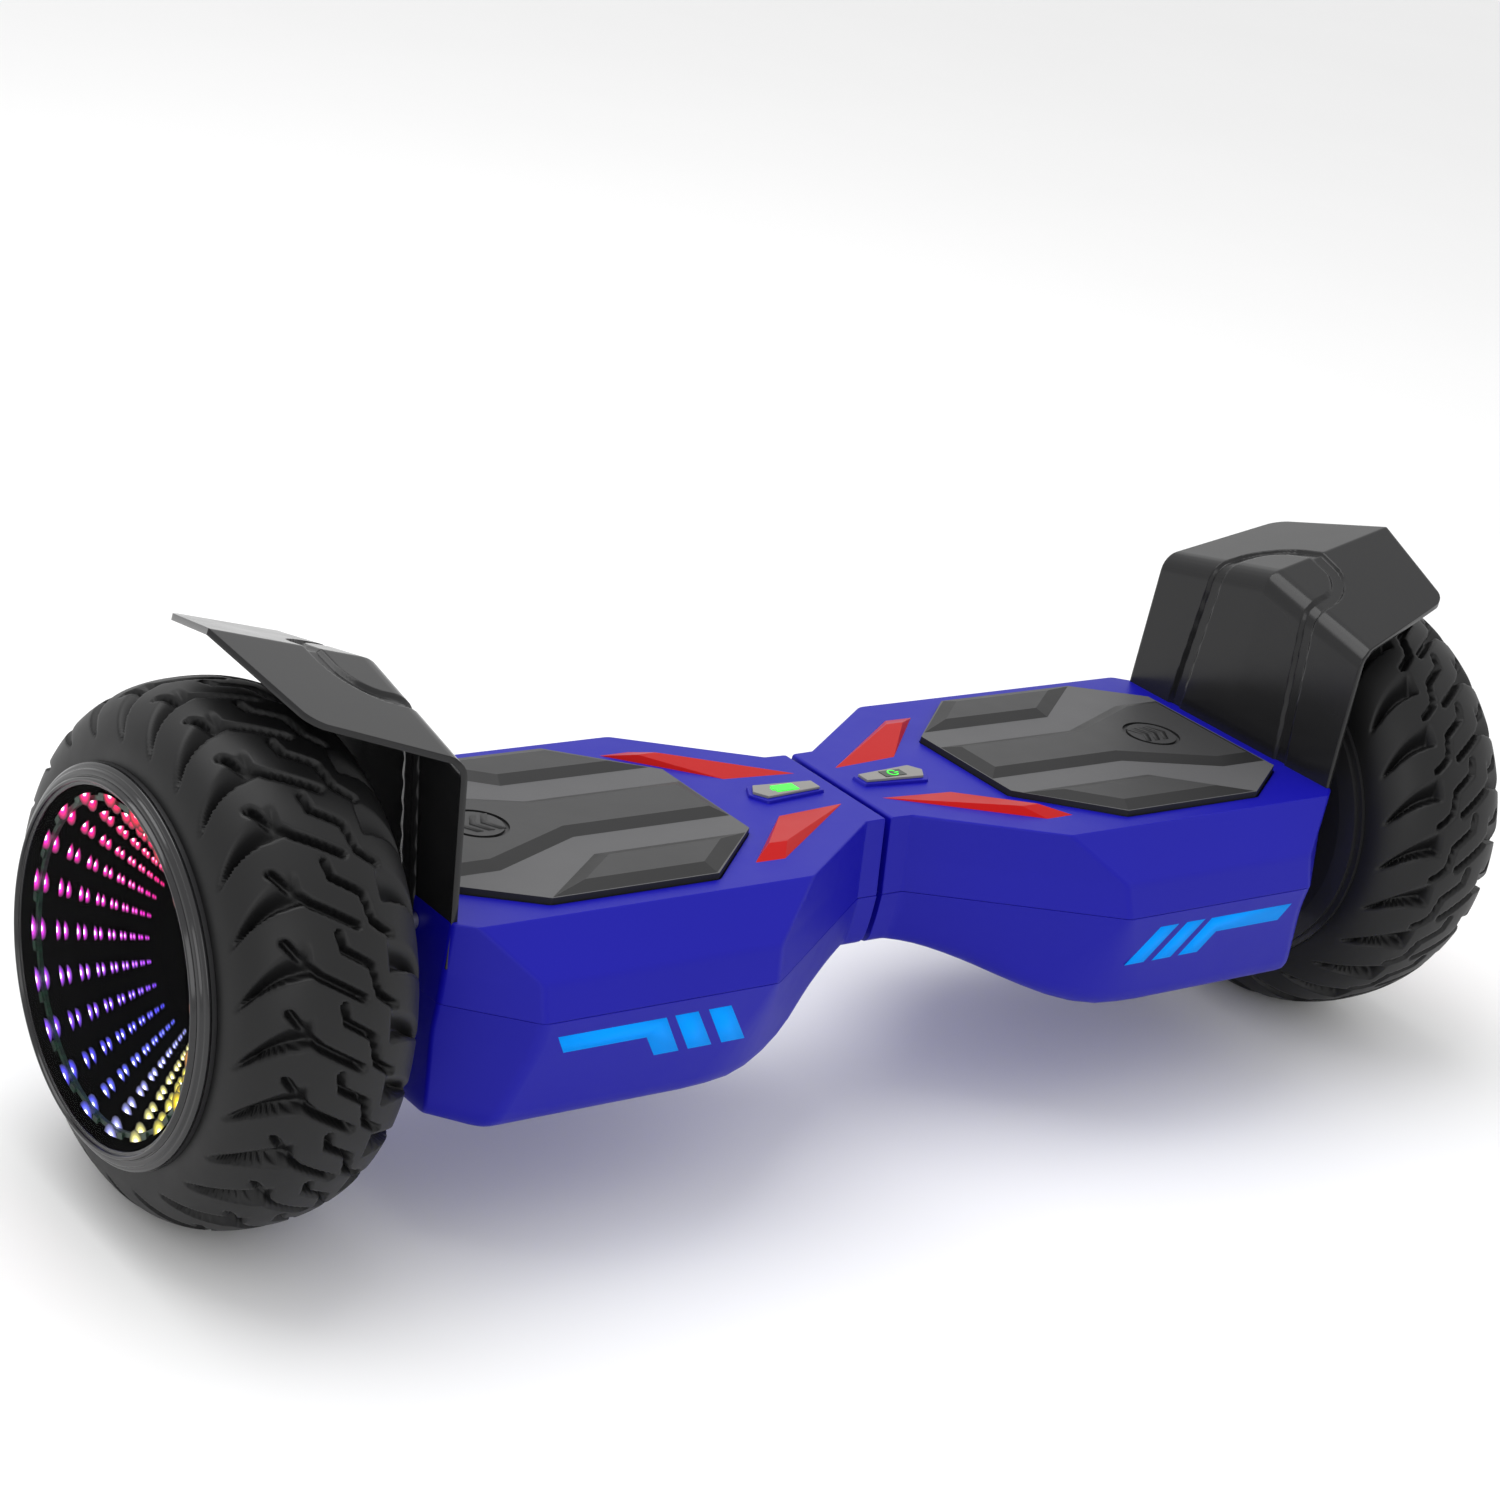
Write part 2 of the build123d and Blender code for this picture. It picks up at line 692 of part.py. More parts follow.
def frame(bore):
    """Die-cast chassis: plate, end wall, axle saddle and the collar of the pivot tube."""
    wall_x = HALF_LENGTH - FENDER_T - FIT
    inner_end = HALF_LENGTH - END_RUN
    side = END_DECK_HALF - 8
    grip_x = wall_x - 6 - AXLE_GRIP
    collar_x = SEAM_X + WALL + 2
    with BuildPart() as chassis:
        with BuildSketch(Plane.XY.offset(PLATE_Z)):
            with BuildLine():
                outline([
                    (collar_x, -NECK_HALF + 16),
                    (FLARE_START + 12, -NECK_HALF + 16),
                    (FLARE_END + 6, -side),
                    (inner_end, -side),
                    (wall_x, -side + 8),
                ])
            make_face()
            with Locations((PAD_START + 12, 0)):
                SlotOverall(34, 16, mode=Mode.SUBTRACT)
        extrude(amount=FRAME_T)
        with Locations((wall_x - 3, 0, (PLATE_Z + DECK_Z - WALL) / 2)):
            Box(6, 2 * (side - 8), DECK_Z - WALL - PLATE_Z)
        with Locations(((grip_x + wall_x) / 2, 0, (AXLE_Z + PLATE_Z) / 2)):
            Box(wall_x - grip_x, 40, FRAME_RISE)
        for y in (-side + 2, side - 2):
            with Locations(((FLARE_END + inner_end) / 2 + 3, y, PLATE_Z - 4)):
                Box(inner_end - FLARE_END - 6, FRAME_T, 8)
        add(ring(collar_x, COLLAR_LENGTH, bore, TUBE_R + BUSH_T + COLLAR_T))
        add(ring(grip_x - 1, AXLE_GRIP + 10, 0, AXLE_R), mode=Mode.SUBTRACT)
        add(ring(collar_x - 1, COLLAR_LENGTH + 2, 0, bore), mode=Mode.SUBTRACT)
        clear_x = collar_x + COLLAR_LENGTH
        add(ring(clear_x, TUBE_HALF + 1 - clear_x, 0, TUBE_R + 4), mode=Mode.SUBTRACT)
        for y, z in fender_screw_places():
            with BuildSketch(wheel_plane(wall_x)):
                with Locations((y, z - AXLE_Z)):
                    Circle(SCREW_R)
            extrude(amount=-6, mode=Mode.SUBTRACT)
        with BuildSketch(Plane.XY.offset(AXLE_Z)):
            with Locations(*clamp_screw_places()):
                Circle(SCREW_R)
        extrude(amount=9, mode=Mode.SUBTRACT)
    return chassis.part


def axle_clamp():
    """Lower half of the axle saddle."""
    length = AXLE_GRIP
    middle = HALF_LENGTH - WALL - length / 2 - 6
    with BuildPart() as clamp:
        with Locations((middle, 0, AXLE_Z - 7.25)):
            Box(length, 40, 13.5)
        add(ring(middle - length, 2 * length, 0, AXLE_R), mode=Mode.SUBTRACT)
        with BuildSketch(Plane.XY.offset(AXLE_Z)):
            with Locations(*clamp_screw_places()):
                Circle(SCREW_R)
        extrude(amount=-20, mode=Mode.SUBTRACT)
    return clamp.part


def pivot_tube():
    """Steel tube that joins the halves, grooved at the right end for the circlip."""
    with BuildPart() as tube:
        add(ring(-TUBE_HALF, 2 * TUBE_HALF, TUBE_R - TUBE_WALL, TUBE_R))
        add(ring(clip_x(), 1.6, TUBE_R - 1.2, TUBE_R + 1), mode=Mode.SUBTRACT)
    return tube.part


def clip_x():
    """Near face of the circlip groove, just past the right collar."""
    return SEAM_X + WALL + 2 + COLLAR_LENGTH + 1


def pivot_bush():
    """Flanged plain bush in the right collar. The tube turns in it."""
    start = SEAM_X + WALL + 0.6
    inner = TUBE_R + FIT
    outer = TUBE_R + BUSH_T
    flange = SEAM_X + WALL + 2
    return lathe([
        (start, inner),
        (start, outer + 3),
        (flange, outer + 3),
        (flange, outer),
        (flange + COLLAR_LENGTH, outer),
        (flange + COLLAR_LENGTH, inner),
    ])


def axle_start():
    """Inner end of the axle, inside the body."""
    return HALF_LENGTH - WALL - AXLE_GRIP - 12


def axle():
    """Hollow steel axle, clamped in the chassis, with its end in the outer bearing."""
    start = axle_start()
    end = WEB_IN + BEARING_W - 2
    return lathe([
        (start, AXLE_BORE_R),
        (start, AXLE_R - 1),
        (start + 1, AXLE_R),
        (end - 1, AXLE_R),
        (end, AXLE_R - 1),
        (end, AXLE_BORE_R),
    ])


# ---- Wheel ---------------------------------------------------------------------------------


def tyre_profile(inset):
    """Half ellipse-like curve from bead to bead, (x, radius), inset from the tread."""
    middle = (TYRE_IN + TYRE_OUT) / 2
    half = TYRE_WIDTH / 2 - inset
    height = TYRE_R - RIM_R - inset
    points = []
    for step in range(0, 17):
        angle = radians(180 - step * 180 / 16)
        c, s = cos(angle), sin(angle)
        x = middle + half * (abs(c) ** (2 / TYRE_SQUARENESS)) * (1 if c > 0 else -1)
        points.append((x, RIM_R + height * max(s, 0) ** (2 / TYRE_SQUARENESS)))
    return points


def tyre():
    """Tyre body: outer curve and inner curve joined at the beads."""
    outer, inner = tyre_profile(0), tyre_profile(TYRE_WALL)
    with BuildPart() as ring_part:
        with BuildSketch(Plane.XZ):
            with BuildLine():
                Spline(*[(x, AXLE_Z + r) for x, r in outer])
                Line((outer[-1][0], AXLE_Z + RIM_R), (inner[-1][0], AXLE_Z + RIM_R))
                Spline(*[(x, AXLE_Z + r) for x, r in reversed(inner)])
                Line((inner[0][0], AXLE_Z + RIM_R), (outer[0][0], AXLE_Z + RIM_R))
            make_face()
        revolve(axis=Axis((0, 0, AXLE_Z), (1, 0, 0)))
    return ring_part.part


def hub_shell():
    """Drum of the hub motor: magnet seat, web with the outer bearing seat, lamp well."""
    seat = MAGNET_OUT
    lip = RIM_R + RIM_LIP
    well = RIM_R - DRUM_WALL
    boss = BEARING_R + 4
    return lathe([
        (DRUM_IN, seat),
        (DRUM_IN, lip),
        (TYRE_IN - FIT, lip),
        (TYRE_IN - FIT, RIM_R),
        (TYRE_OUT + FIT, RIM_R),
        (TYRE_OUT + FIT, lip),
        (DRUM_OUT, lip),
        (DRUM_OUT, well),
        (LAMP_BACK, well),
        (LAMP_BACK, 0),
        (WEB_IN + BEARING_W, 0),
        (WEB_IN + BEARING_W, BEARING_R),
        (WEB_IN, BEARING_R),
        (WEB_IN, boss),
        (LAMP_BACK - 5, boss),
        (LAMP_BACK - 5, seat),
    ])


def inner_hub_cover():
    """Cover of the motor on the body's side, with the inner bearing seat."""
    boss = BEARING_R + 4
    face = DRUM_IN - 4
    return lathe([
        (face, AXLE_R + 3),
        (face, RIM_R - 8),
        (face + 2, RIM_R),
        (DRUM_IN, RIM_R),
        (DRUM_IN, MAGNET_OUT - FIT),
        (DRUM_IN + 2, MAGNET_OUT - FIT),
        (DRUM_IN + 2, boss),
        (face + 2 + BEARING_W, boss),
        (face + 2 + BEARING_W, BEARING_R),
        (face + 2, BEARING_R),
        (face + 2, AXLE_R + 3),
    ])


def bearings():
    """Inner and outer wheel bearings: each an inner race, an outer race and balls."""
    with BuildPart() as races:
        for x in (DRUM_IN - 2, WEB_IN):
            add(ring(x, BEARING_W - 0.5, BEARING_R - RACE_T, BEARING_R))
            middle = (BEARING_R - RACE_T + AXLE_R + RACE_T) / 2
            with BuildSketch(wheel_plane(x + 1)):
                with PolarLocations(middle, 9):
                    Circle((BEARING_R - AXLE_R) / 2 - RACE_T - FIT)
            extrude(amount=BEARING_W - 2.5)
    return races.part


def inner_races():
    """Inner races of the two wheel bearings, pressed on the axle."""
    with BuildPart() as races:
        for x in (DRUM_IN - 2, WEB_IN):
            add(ring(x + 0.5, BEARING_W - 3, AXLE_R, AXLE_R + RACE_T - SLIDE))
    return races.part


def stator():
    """Laminated stator on its hub: a ring with T-shaped teeth."""
    with BuildPart() as core:
        with BuildSketch(wheel_plane(STATOR_IN)):
            Circle(36)
            Circle(AXLE_R, mode=Mode.SUBTRACT)
            with PolarLocations(0, SLOT_COUNT):
                with Locations(((STATOR_R + 29) / 2, 0)):
                    Rectangle(STATOR_R - 37, 5)
                with Locations((STATOR_R - 3.4, 0)):
                    Rectangle(4, 14)
        extrude(amount=STATOR_T)
    return core.part


def windings():
    """One copper coil round each tooth."""
    with BuildPart() as coils:
        for k in range(SLOT_COUNT):
            turn = 360 * k / SLOT_COUNT
            place = wheel_plane(STATOR_IN - 3) * Location((0, 0, 0), (0, 0, turn))
            with BuildSketch(Plane(place)):
                with Locations((46.5, 0)):
                    Rectangle(15, 8.6)
            extrude(amount=STATOR_T + 6)
        with BuildSketch(wheel_plane(STATOR_IN)):
            with PolarLocations(0, SLOT_COUNT):
                with Locations((46.5, 0)):
                    Rectangle(17, 5)
        extrude(amount=STATOR_T, mode=Mode.SUBTRACT)
    return coils.part


def magnets():
    """Flat magnets bonded round the inside of the drum."""
    share = 0.86 * 360 / MAGNET_COUNT
    with BuildPart() as blocks:
        with BuildSketch(wheel_plane(STATOR_IN)):
            for k in range(MAGNET_COUNT):
                a = radians(360 * k / MAGNET_COUNT - share / 2)
                b = radians(360 * k / MAGNET_COUNT + share / 2)
                with BuildLine():
                    outer = ThreePointArc(*[
                        (MAGNET_OUT * cos(t), MAGNET_OUT * sin(t)) for t in (a, (a + b) / 2, b)
                    ])
                    inner = ThreePointArc(*[
                        (MAGNET_IN * cos(t), MAGNET_IN * sin(t)) for t in (a, (a + b) / 2, b)
                    ])
                    Line(outer @ 0, inner @ 0)
                    Line(outer @ 1, inner @ 1)
                make_face()
        extrude(amount=STATOR_T)
    return blocks.part


def lamp_ring():
    """Ring board of light-emitting diodes round the mouth of the light tunnel."""
    x = DRUM_OUT - 2
    with BuildPart() as board:
        add(ring(x, 1.6, LAMP_R - 8, LAMP_R - 0.5))
        with BuildSketch(wheel_plane(x + 1.6)):
            with PolarLocations(LAMP_R - 5.5, LAMP_COUNT):
                Rectangle(4, 4)
        extrude(amount=1)
    return board.part


def light_tunnel():
    """Black conical cup behind the window."""
    mouth = DRUM_OUT - 2
    back = LAMP_BACK + 1
    return lathe([
        (back, 0),
        (back, 28),
        (mouth - 1.6, LAMP_R - 6),
        (mouth - 1.6, LAMP_R),
        (mouth, LAMP_R),
        (mouth, LAMP_R - 7.5),
        (back + 1.6, 26.4),
        (back + 1.6, 0),
    ])


def lamp_window():
    """Smoked window of the wheel's face."""
    return ring(DRUM_OUT + 3.8, WINDOW_T, 0, LAMP_R)


def wheel_trim():
    """Stepped gloss ring that holds the window."""
    seat = DRUM_OUT + 3.8
    return lathe([
        (DRUM_OUT, LAMP_R - 3),
        (DRUM_OUT, RIM_R + 1),
        (DRUM_OUT + 1.5, RIM_R + 1),
        (DRUM_OUT + 3, RIM_R - 1),
        (seat + WINDOW_T - 1, LAMP_R + 1.5),
        (seat + WINDOW_T - 0.4, LAMP_R + FIT),
        (seat, LAMP_R + FIT),
        (seat, LAMP_R - 3),
    ])


# ---- Fender --------------------------------------------------------------------------------


def fender():
    """Sheet guard: a leaning inner plate bent into a roof that falls to front and back."""
    foot_x = HALF_LENGTH - FENDER_T
    foot_z = DECK_Z - FENDER_FOOT + FIT
    bend_x = HALF_LENGTH + FENDER_LEAN
    bend_z = AXLE_Z + TYRE_R + FENDER_OVER
    tip_x, tip_z = TYRE_OUT - FENDER_SHORT, bend_z + FENDER_LIFT
    climb = FENDER_LIFT / (tip_x - HALF_LENGTH)
    past_tip = 5
    half = END_DECK_HALF - 0.4
    outer_x = tip_x - FENDER_TIP_CUT
    reach = half + 5
    with BuildSketch(Plane.XZ) as side_view:
        with BuildLine():
            spine = FilletPolyline(
                (HALF_LENGTH, foot_z - reach * FENDER_FALL),
                (HALF_LENGTH, DECK_Z),
                (bend_x, bend_z),
                (tip_x + past_tip, tip_z + past_tip * climb),
                radius=FENDER_BEND_R,
            )
            offset(spine, amount=FENDER_T, side=Side.LEFT, closed=True)
        make_face()
    with BuildPart() as half_sheet:
        extrude(side_view.sketch, amount=reach * hypot(1, FENDER_FALL), dir=(0, -1, -FENDER_FALL))
        mirror(about=Plane.XZ)
    with BuildPart() as guard:
        add(half_sheet.part)
        with BuildSketch(Plane.XY):
            with BuildLine():
                outline([
                    (foot_x - 5, -half),
                    (bend_x, -half + 1.5),
                    (outer_x, -FENDER_OUTER_HALF),
                    (tip_x, 0),
                ])
            make_face()
        extrude(amount=2 * tip_z, mode=Mode.INTERSECT)
        with BuildSketch(Plane.XY.offset(foot_z)):
            Rectangle(4 * HALF_LENGTH, 4 * HALF_LENGTH)
        extrude(amount=-4 * TYRE_R, mode=Mode.SUBTRACT)
        for y, z in fender_screw_places():
            with BuildSketch(wheel_plane(foot_x - 1)):
                with Locations((y, z - AXLE_Z)):
                    Circle(SCREW_R + FIT)
            extrude(amount=FENDER_T + 2, mode=Mode.SUBTRACT)
    return guard.part


# ---- Electrics -----------------------------------------------------------------------------


def battery_pack():
    """Wrapped battery pack under the right chassis plate."""
    length, width, height = BATTERY
    end = axle_start() - 6
    with BuildPart() as pack:
        with Locations((end - length / 2, 0, PLATE_Z - 1 - height / 2)):
            Box(length, width, height)
        fillet(pack.edges().filter_by(Axis.X), 6)
    return pack.part


def control_board():
    """Main board: circuit board, heat sink, capacitors and sockets."""
    length, width, thick = BOARD
    x, z = BELLY_END + 4 + length / 2, BELLY_Z + WALL + 14
    with BuildPart() as board:
        with Locations((x, 0, z)):
            Box(length, width, thick)
        with Locations((x + 10, 0, z + thick / 2 + 3)):
            Box(40, 30, 6)
        for k in range(5):
            with Locations((x + 10, 12 - 6 * k, z + thick / 2 + 9)):
                Box(40, 2, 6)
        with BuildSketch(Plane.XY.offset(z + thick / 2)):
            with Locations((x - 24, -20), (x - 24, 0), (x - 24, 20)):
                Circle(7)
        extrude(amount=16)
        with BuildSketch(Plane.XY.offset(z - thick / 2)):
            with Locations((x, 0)):
                with GridLocations(length - 10, width - 10, 2, 2):
                    Circle(3)
        extrude(amount=-(z - thick / 2 - BELLY_Z - WALL))
    return board.part


def charge_socket():
    """Three-pin charging socket in the rear wall."""
    plane = rear_plane()
    with BuildPart() as socket:
        with BuildSketch(plane.offset(-SOCKET_LENGTH)):
            Circle(PORT_R)
        extrude(amount=SOCKET_LENGTH)
        with BuildSketch(plane.offset(-SOCKET_DEPTH)):
            Circle(PORT_R - SOCKET_WALL)
        extrude(amount=SOCKET_DEPTH + 1, mode=Mode.SUBTRACT)
        with BuildSketch(plane.offset(-SOCKET_DEPTH)):
            with PolarLocations(PIN_RING_R, 3):
                Circle(PIN_R)
        extrude(amount=PIN_LENGTH)
    return socket.part


def charge_cap():
    """Rubber flap over the charging socket, with a tongue along its lower edge."""
    plane = rear_plane()
    with BuildPart() as cap:
        with BuildSketch(plane.offset(SLIDE)):
            Circle(CAP_R)
            with Locations((0, -CAP_R + 1)):
                Rectangle(12, 7)
        extrude(amount=CAP_T)
        with BuildSketch(plane.offset(SLIDE)):
            Circle(PORT_R - 2.2)
            Circle(PORT_R - 3.6, mode=Mode.SUBTRACT)
        extrude(amount=-3)
        fillet(cap.edges().group_by(Axis(plane.origin, plane.z_dir))[-1], 0.8)
    return cap.part


def power_button():
    """Round push button."""
    plane = rear_plane()
    with BuildPart() as button:
        with BuildSketch(plane.offset(-9)):
            Circle(BUTTON_R)
        extrude(amount=11.2)
        fillet(button.edges().group_by(Axis(plane.origin, plane.z_dir))[-1], 1)
    return button.part


def speaker_x():
    """Middle of the loudspeaker, between the main board and the end wall."""
    return HALF_LENGTH - 3 * WALL - SPEAKER_R


def speaker():
    """Small loudspeaker over the grille of the left bottom cover."""
    z = BELLY_Z + WALL
    with BuildPart() as driver:
        with BuildSketch(Plane.XY.offset(z)):
            with Locations((speaker_x(), 0)):
                Circle(SPEAKER_R)
        extrude(amount=4)
        with BuildSketch(Plane.XY.offset(z + 4)):
            with Locations((speaker_x(), 0)):
                Circle(SPEAKER_R - 2)
        extrude(amount=8, taper=25)
    return driver.part


def centre_harness():
    """Bundle of wires through the pivot tube."""
    return ring(-TUBE_HALF - 12, 2 * TUBE_HALF + 24, 0, TUBE_R - TUBE_WALL - 3)


# ---- Write every piece ---------------------------------------------------------------------

save_pair(top_cover(), "top_cover")
save(bottom_cover("right"), "bottom_cover_right")
save_left(bottom_cover("left"), "bottom_cover_left")
save(frame(TUBE_R + BUSH_T), "frame_right")
save_left(frame(TUBE_R), "frame_left")
for make in (
    red_trims,
    indicator_plate,
    indicator_lens,
    foot_pad,
    bump_stops,
    sensor_board,
    screws,
    fender,
    axle,
    axle_clamp,
    inner_races,
    bearings,
    stator,
    windings,
    magnets,
    hub_shell,
    inner_hub_cover,
    tyre,
    lamp_ring,
    light_tunnel,
    lamp_window,
    wheel_trim,
):
    save_pair(make(), make.__name__)
save(pivot_tube(), "pivot_tube")
save(pivot_bush(), "pivot_bush")
save(ring(clip_x() + 0.2, 1.2, TUBE_R - 1, TUBE_R + 3), "pivot_circlip")
save(battery_pack(), "battery_pack")
save(charge_socket(), "charge_socket")
save(charge_cap(), "charge_cap")
save(centre_harness(), "centre_harness")
save_left(control_board(), "control_board")
save_left(speaker(), "speaker")
save_left(power_button(), "power_button")
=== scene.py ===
import json
import math

import bmesh
import bpy
import numpy as np
from bpy.props import FloatProperty, FloatVectorProperty, IntProperty, PointerProperty
from mathutils import Matrix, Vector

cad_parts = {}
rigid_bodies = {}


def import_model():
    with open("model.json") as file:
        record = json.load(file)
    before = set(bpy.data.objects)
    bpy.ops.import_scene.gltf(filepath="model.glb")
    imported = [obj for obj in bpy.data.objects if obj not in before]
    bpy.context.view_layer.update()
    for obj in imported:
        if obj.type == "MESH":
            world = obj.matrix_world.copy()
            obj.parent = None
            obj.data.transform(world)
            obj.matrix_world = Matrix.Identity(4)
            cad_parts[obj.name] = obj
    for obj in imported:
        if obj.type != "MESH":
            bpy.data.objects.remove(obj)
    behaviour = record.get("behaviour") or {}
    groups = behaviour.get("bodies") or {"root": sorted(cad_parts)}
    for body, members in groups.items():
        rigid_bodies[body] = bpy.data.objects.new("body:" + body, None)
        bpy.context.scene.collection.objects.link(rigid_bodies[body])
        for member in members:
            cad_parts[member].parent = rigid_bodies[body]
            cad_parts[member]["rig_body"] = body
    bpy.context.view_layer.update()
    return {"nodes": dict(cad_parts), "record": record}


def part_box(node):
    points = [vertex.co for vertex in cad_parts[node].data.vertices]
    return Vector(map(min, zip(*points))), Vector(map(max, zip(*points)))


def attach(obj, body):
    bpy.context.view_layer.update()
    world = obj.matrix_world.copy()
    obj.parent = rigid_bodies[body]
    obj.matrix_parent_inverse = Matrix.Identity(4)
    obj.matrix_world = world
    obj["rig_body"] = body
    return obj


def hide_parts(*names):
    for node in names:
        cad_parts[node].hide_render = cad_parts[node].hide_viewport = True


bl_info = {
    "name": "Self Balancing Board",
    "version": (1, 0, 0),
    "blender": (4, 5, 0),
    "location": "View3D > Sidebar > Board",
    "description": "Covers, pads, fenders, treaded tyres and lit wheel faces around a packed frame",
    "category": "Object",
}

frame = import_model()

MM = 0.001
SIDES = {"right": 1, "left": -1}


def spot(node, corner, axis):
    """One coordinate of a frame node's box, in millimetres. corner 0 is the lowest."""
    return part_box(node)[corner][axis] / MM


# ---- Sizes, millimetres, of the right-hand pieces -------------------------------------------

AXLE_Z = spot("tyre_right", 1, 2) - (spot("tyre_right", 1, 1) - spot("tyre_right", 0, 1)) / 2
SEAM_X = spot("top_cover_right", 0, 0)
END_X = spot("top_cover_right", 1, 0)
BELT_HALF = spot("top_cover_right", 1, 1)
BELLY_Z = spot("bottom_cover_right", 0, 2)
PLINTH_RISE = 1.4
DECK_Z = spot("top_cover_right", 1, 2) - PLINTH_RISE
SHOULDER_Z = AXLE_Z + 15
WAIST_Z = AXLE_Z - 27
NECK_X = 12.7
BELLY_RUN = 98.2
COVER_T = 2.0
LIP_GAP = 0.05
WALL_LEAN = (BELT_HALF - 85) / (AXLE_Z - BELLY_Z)  # how far the side walls lean in, per mm down

TYRE_R = spot("tyre_right", 1, 2) - AXLE_Z
TYRE_IN = spot("tyre_right", 0, 0)
TYRE_OUT = spot("tyre_right", 1, 0)
TYRE_SQUARENESS = 2.3
BEAD_R = 76.0

FACE_X = spot("wheel_trim_right", 1, 0)
TRIM_IN = spot("wheel_trim_right", 0, 0)
TUNNEL_BACK = spot("light_tunnel_right", 0, 0)
TUNNEL_MOUTH = spot("light_tunnel_right", 1, 0)

PORT_X = (spot("charge_socket", 0, 0) + spot("charge_socket", 1, 0)) / 2
PORT_R = 9.2
BUTTON_R = (spot("power_button", 1, 0) - spot("power_button", 0, 0)) / 2 + 0.2
SHEET_T = 3.0
LEAN = 4.5
FENDER_BEND = AXLE_Z + TYRE_R + 6.0
FENDER_FALL = 0.215
FENDER_CUT = 15.0

# plan outlines of the front half, inner end first
BELT_LINE = [(SEAM_X, 39.5), (NECK_X, 39.5), (98.9, BELT_HALF), (214, BELT_HALF), (END_X, 67.5)]
SHOULDER_LINE = [(SEAM_X, 38), (NECK_X, 38), (97, 92.4), (214.2, 92.4), (END_X, 68.4)]
DECK_LINE = [(SEAM_X, 36), (NECK_X, 36.4), (71.8, 75.8), (236.9, 76), (END_X, 69.6)]
PAD_HOLE = [(73.2, 28), (73.2, 31.7), (114.8, 67.2), (197.4, 67.2), (231.8, 44.6)]


# ---- Arrays ---------------------------------------------------------------------------------


def soften(net, reach, axis, closed=False, steps=3, limit=0.48):
    """Rounds the corners of a net of points along one of its two axes. Each corner turns into
    a quadratic curve (1-t)^2 a + 2t(1-t) corner + t^2 b, where a and b stand at the reach
    along the two sides that meet there, or at the limit's share of a shorter side."""
    p = np.moveaxis(np.asarray(net, float), axis, 0)
    reach = np.broadcast_to(np.asarray(reach, float), (len(p),))[:, None, None]

    def toward(q):
        gap = np.linalg.norm(q - p, axis=-1, keepdims=True)
        return p + (q - p) * np.minimum(reach / np.maximum(gap, 1e-9), limit)

    a, b = toward(np.roll(p, 1, 0)), toward(np.roll(p, -1, 0))
    t = np.linspace(0, 1, steps + 1).reshape(1, -1, 1, 1)
    curve = (1 - t) ** 2 * a[:, None] + 2 * t * (1 - t) * p[:, None] + t**2 * b[:, None]
    if closed:
        out = curve.reshape(-1, *p.shape[1:])
    else:
        out = np.concatenate([p[:1], curve[1:-1].reshape(-1, *p.shape[1:]), p[-1:]])
    return np.moveaxis(out, 0, axis)


def grid_faces(rows, columns, wrap_rows=False, wrap_columns=False):
    """Quads of a grid of points stored row by row, joined round where it wraps."""
    r, c = np.meshgrid(
        np.arange(rows - (not wrap_rows)), np.arange(columns - (not wrap_columns)), indexing="ij"
    )
    r2, c2 = (r + 1) % rows, (c + 1) % columns
    quads = [r * columns + c, r2 * columns + c, r2 * columns + c2, r * columns + c2]
    return np.stack(quads, -1).reshape(-1, 4)


def loop_of(line, level):
    """Closed ring of points at a level from the front half of a plan outline."""
    front = np.array([(x, -y, level) for x, y in line], float)
    return np.concatenate([front, front[::-1] * (1, -1, 1)])


def blend_step(value):
    """Smooth step from 0 to 1: 3v^2 - 2v^3 on values held between 0 and 1."""
    v = np.clip(value, 0, 1)
    return v * v * (3 - 2 * v)


def belly_z(x):
    """Height of the belly: flat waist, then a smooth step down over the belly's run."""
    return WAIST_Z + (BELLY_Z - WAIST_Z) * blend_step((x - NECK_X) / BELLY_RUN)


# ---- Pieces ---------------------------------------------------------------------------------


def add_piece(name, points, faces, material, body, replaces=()):
    """Mesh from points in millimetres. Doubled points are merged and normals made to point out."""
    mesh = bpy.data.meshes.new(name)
    mesh.from_pydata((np.asarray(points, float).reshape(-1, 3) * MM).tolist(), [], [list(f) for f in faces])
    shape = bmesh.new()
    shape.from_mesh(mesh)
    bmesh.ops.remove_doubles(shape, verts=shape.verts, dist=1e-6)
    bmesh.ops.dissolve_degenerate(shape, edges=shape.edges, dist=1e-6)
    bmesh.ops.recalc_face_normals(shape, faces=shape.faces)
    shape.to_mesh(mesh)
    shape.free()
    return finish_piece(name, mesh, material, body, replaces)


def finish_piece(name, mesh, material, body, replaces):
    """Links a mesh as a piece that rides on a body, with its materials and slot."""
    piece = bpy.data.objects.new(name, mesh)
    bpy.context.scene.collection.objects.link(piece)
    mesh.materials.clear()
    for one in material if isinstance(material, list) else [material]:
        mesh.materials.append(one)
    mesh.shade_smooth()
    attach(piece, body)
    if replaces:
        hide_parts(*replaces)
    return piece


def crisp(piece, thickness=0.0, rounding=0.0, angle=30.0, segments=2):
    """Wall thickness, rounded edges and flat-looking flats, in that order."""
    if thickness:
        wall = piece.modifiers.new("wall", "SOLIDIFY")
        wall.thickness = thickness * MM
        wall.offset = -1
        wall.use_even_offset = True
    if rounding:
        edge = piece.modifiers.new("edges", "BEVEL")
        edge.width = rounding * MM
        edge.segments = segments
        edge.limit_method = "ANGLE"
        edge.angle_limit = math.radians(angle)
        edge.use_clamp_overlap = True
    flats = piece.modifiers.new("flats", "WEIGHTED_NORMAL")
    flats.keep_sharp = True
    return piece


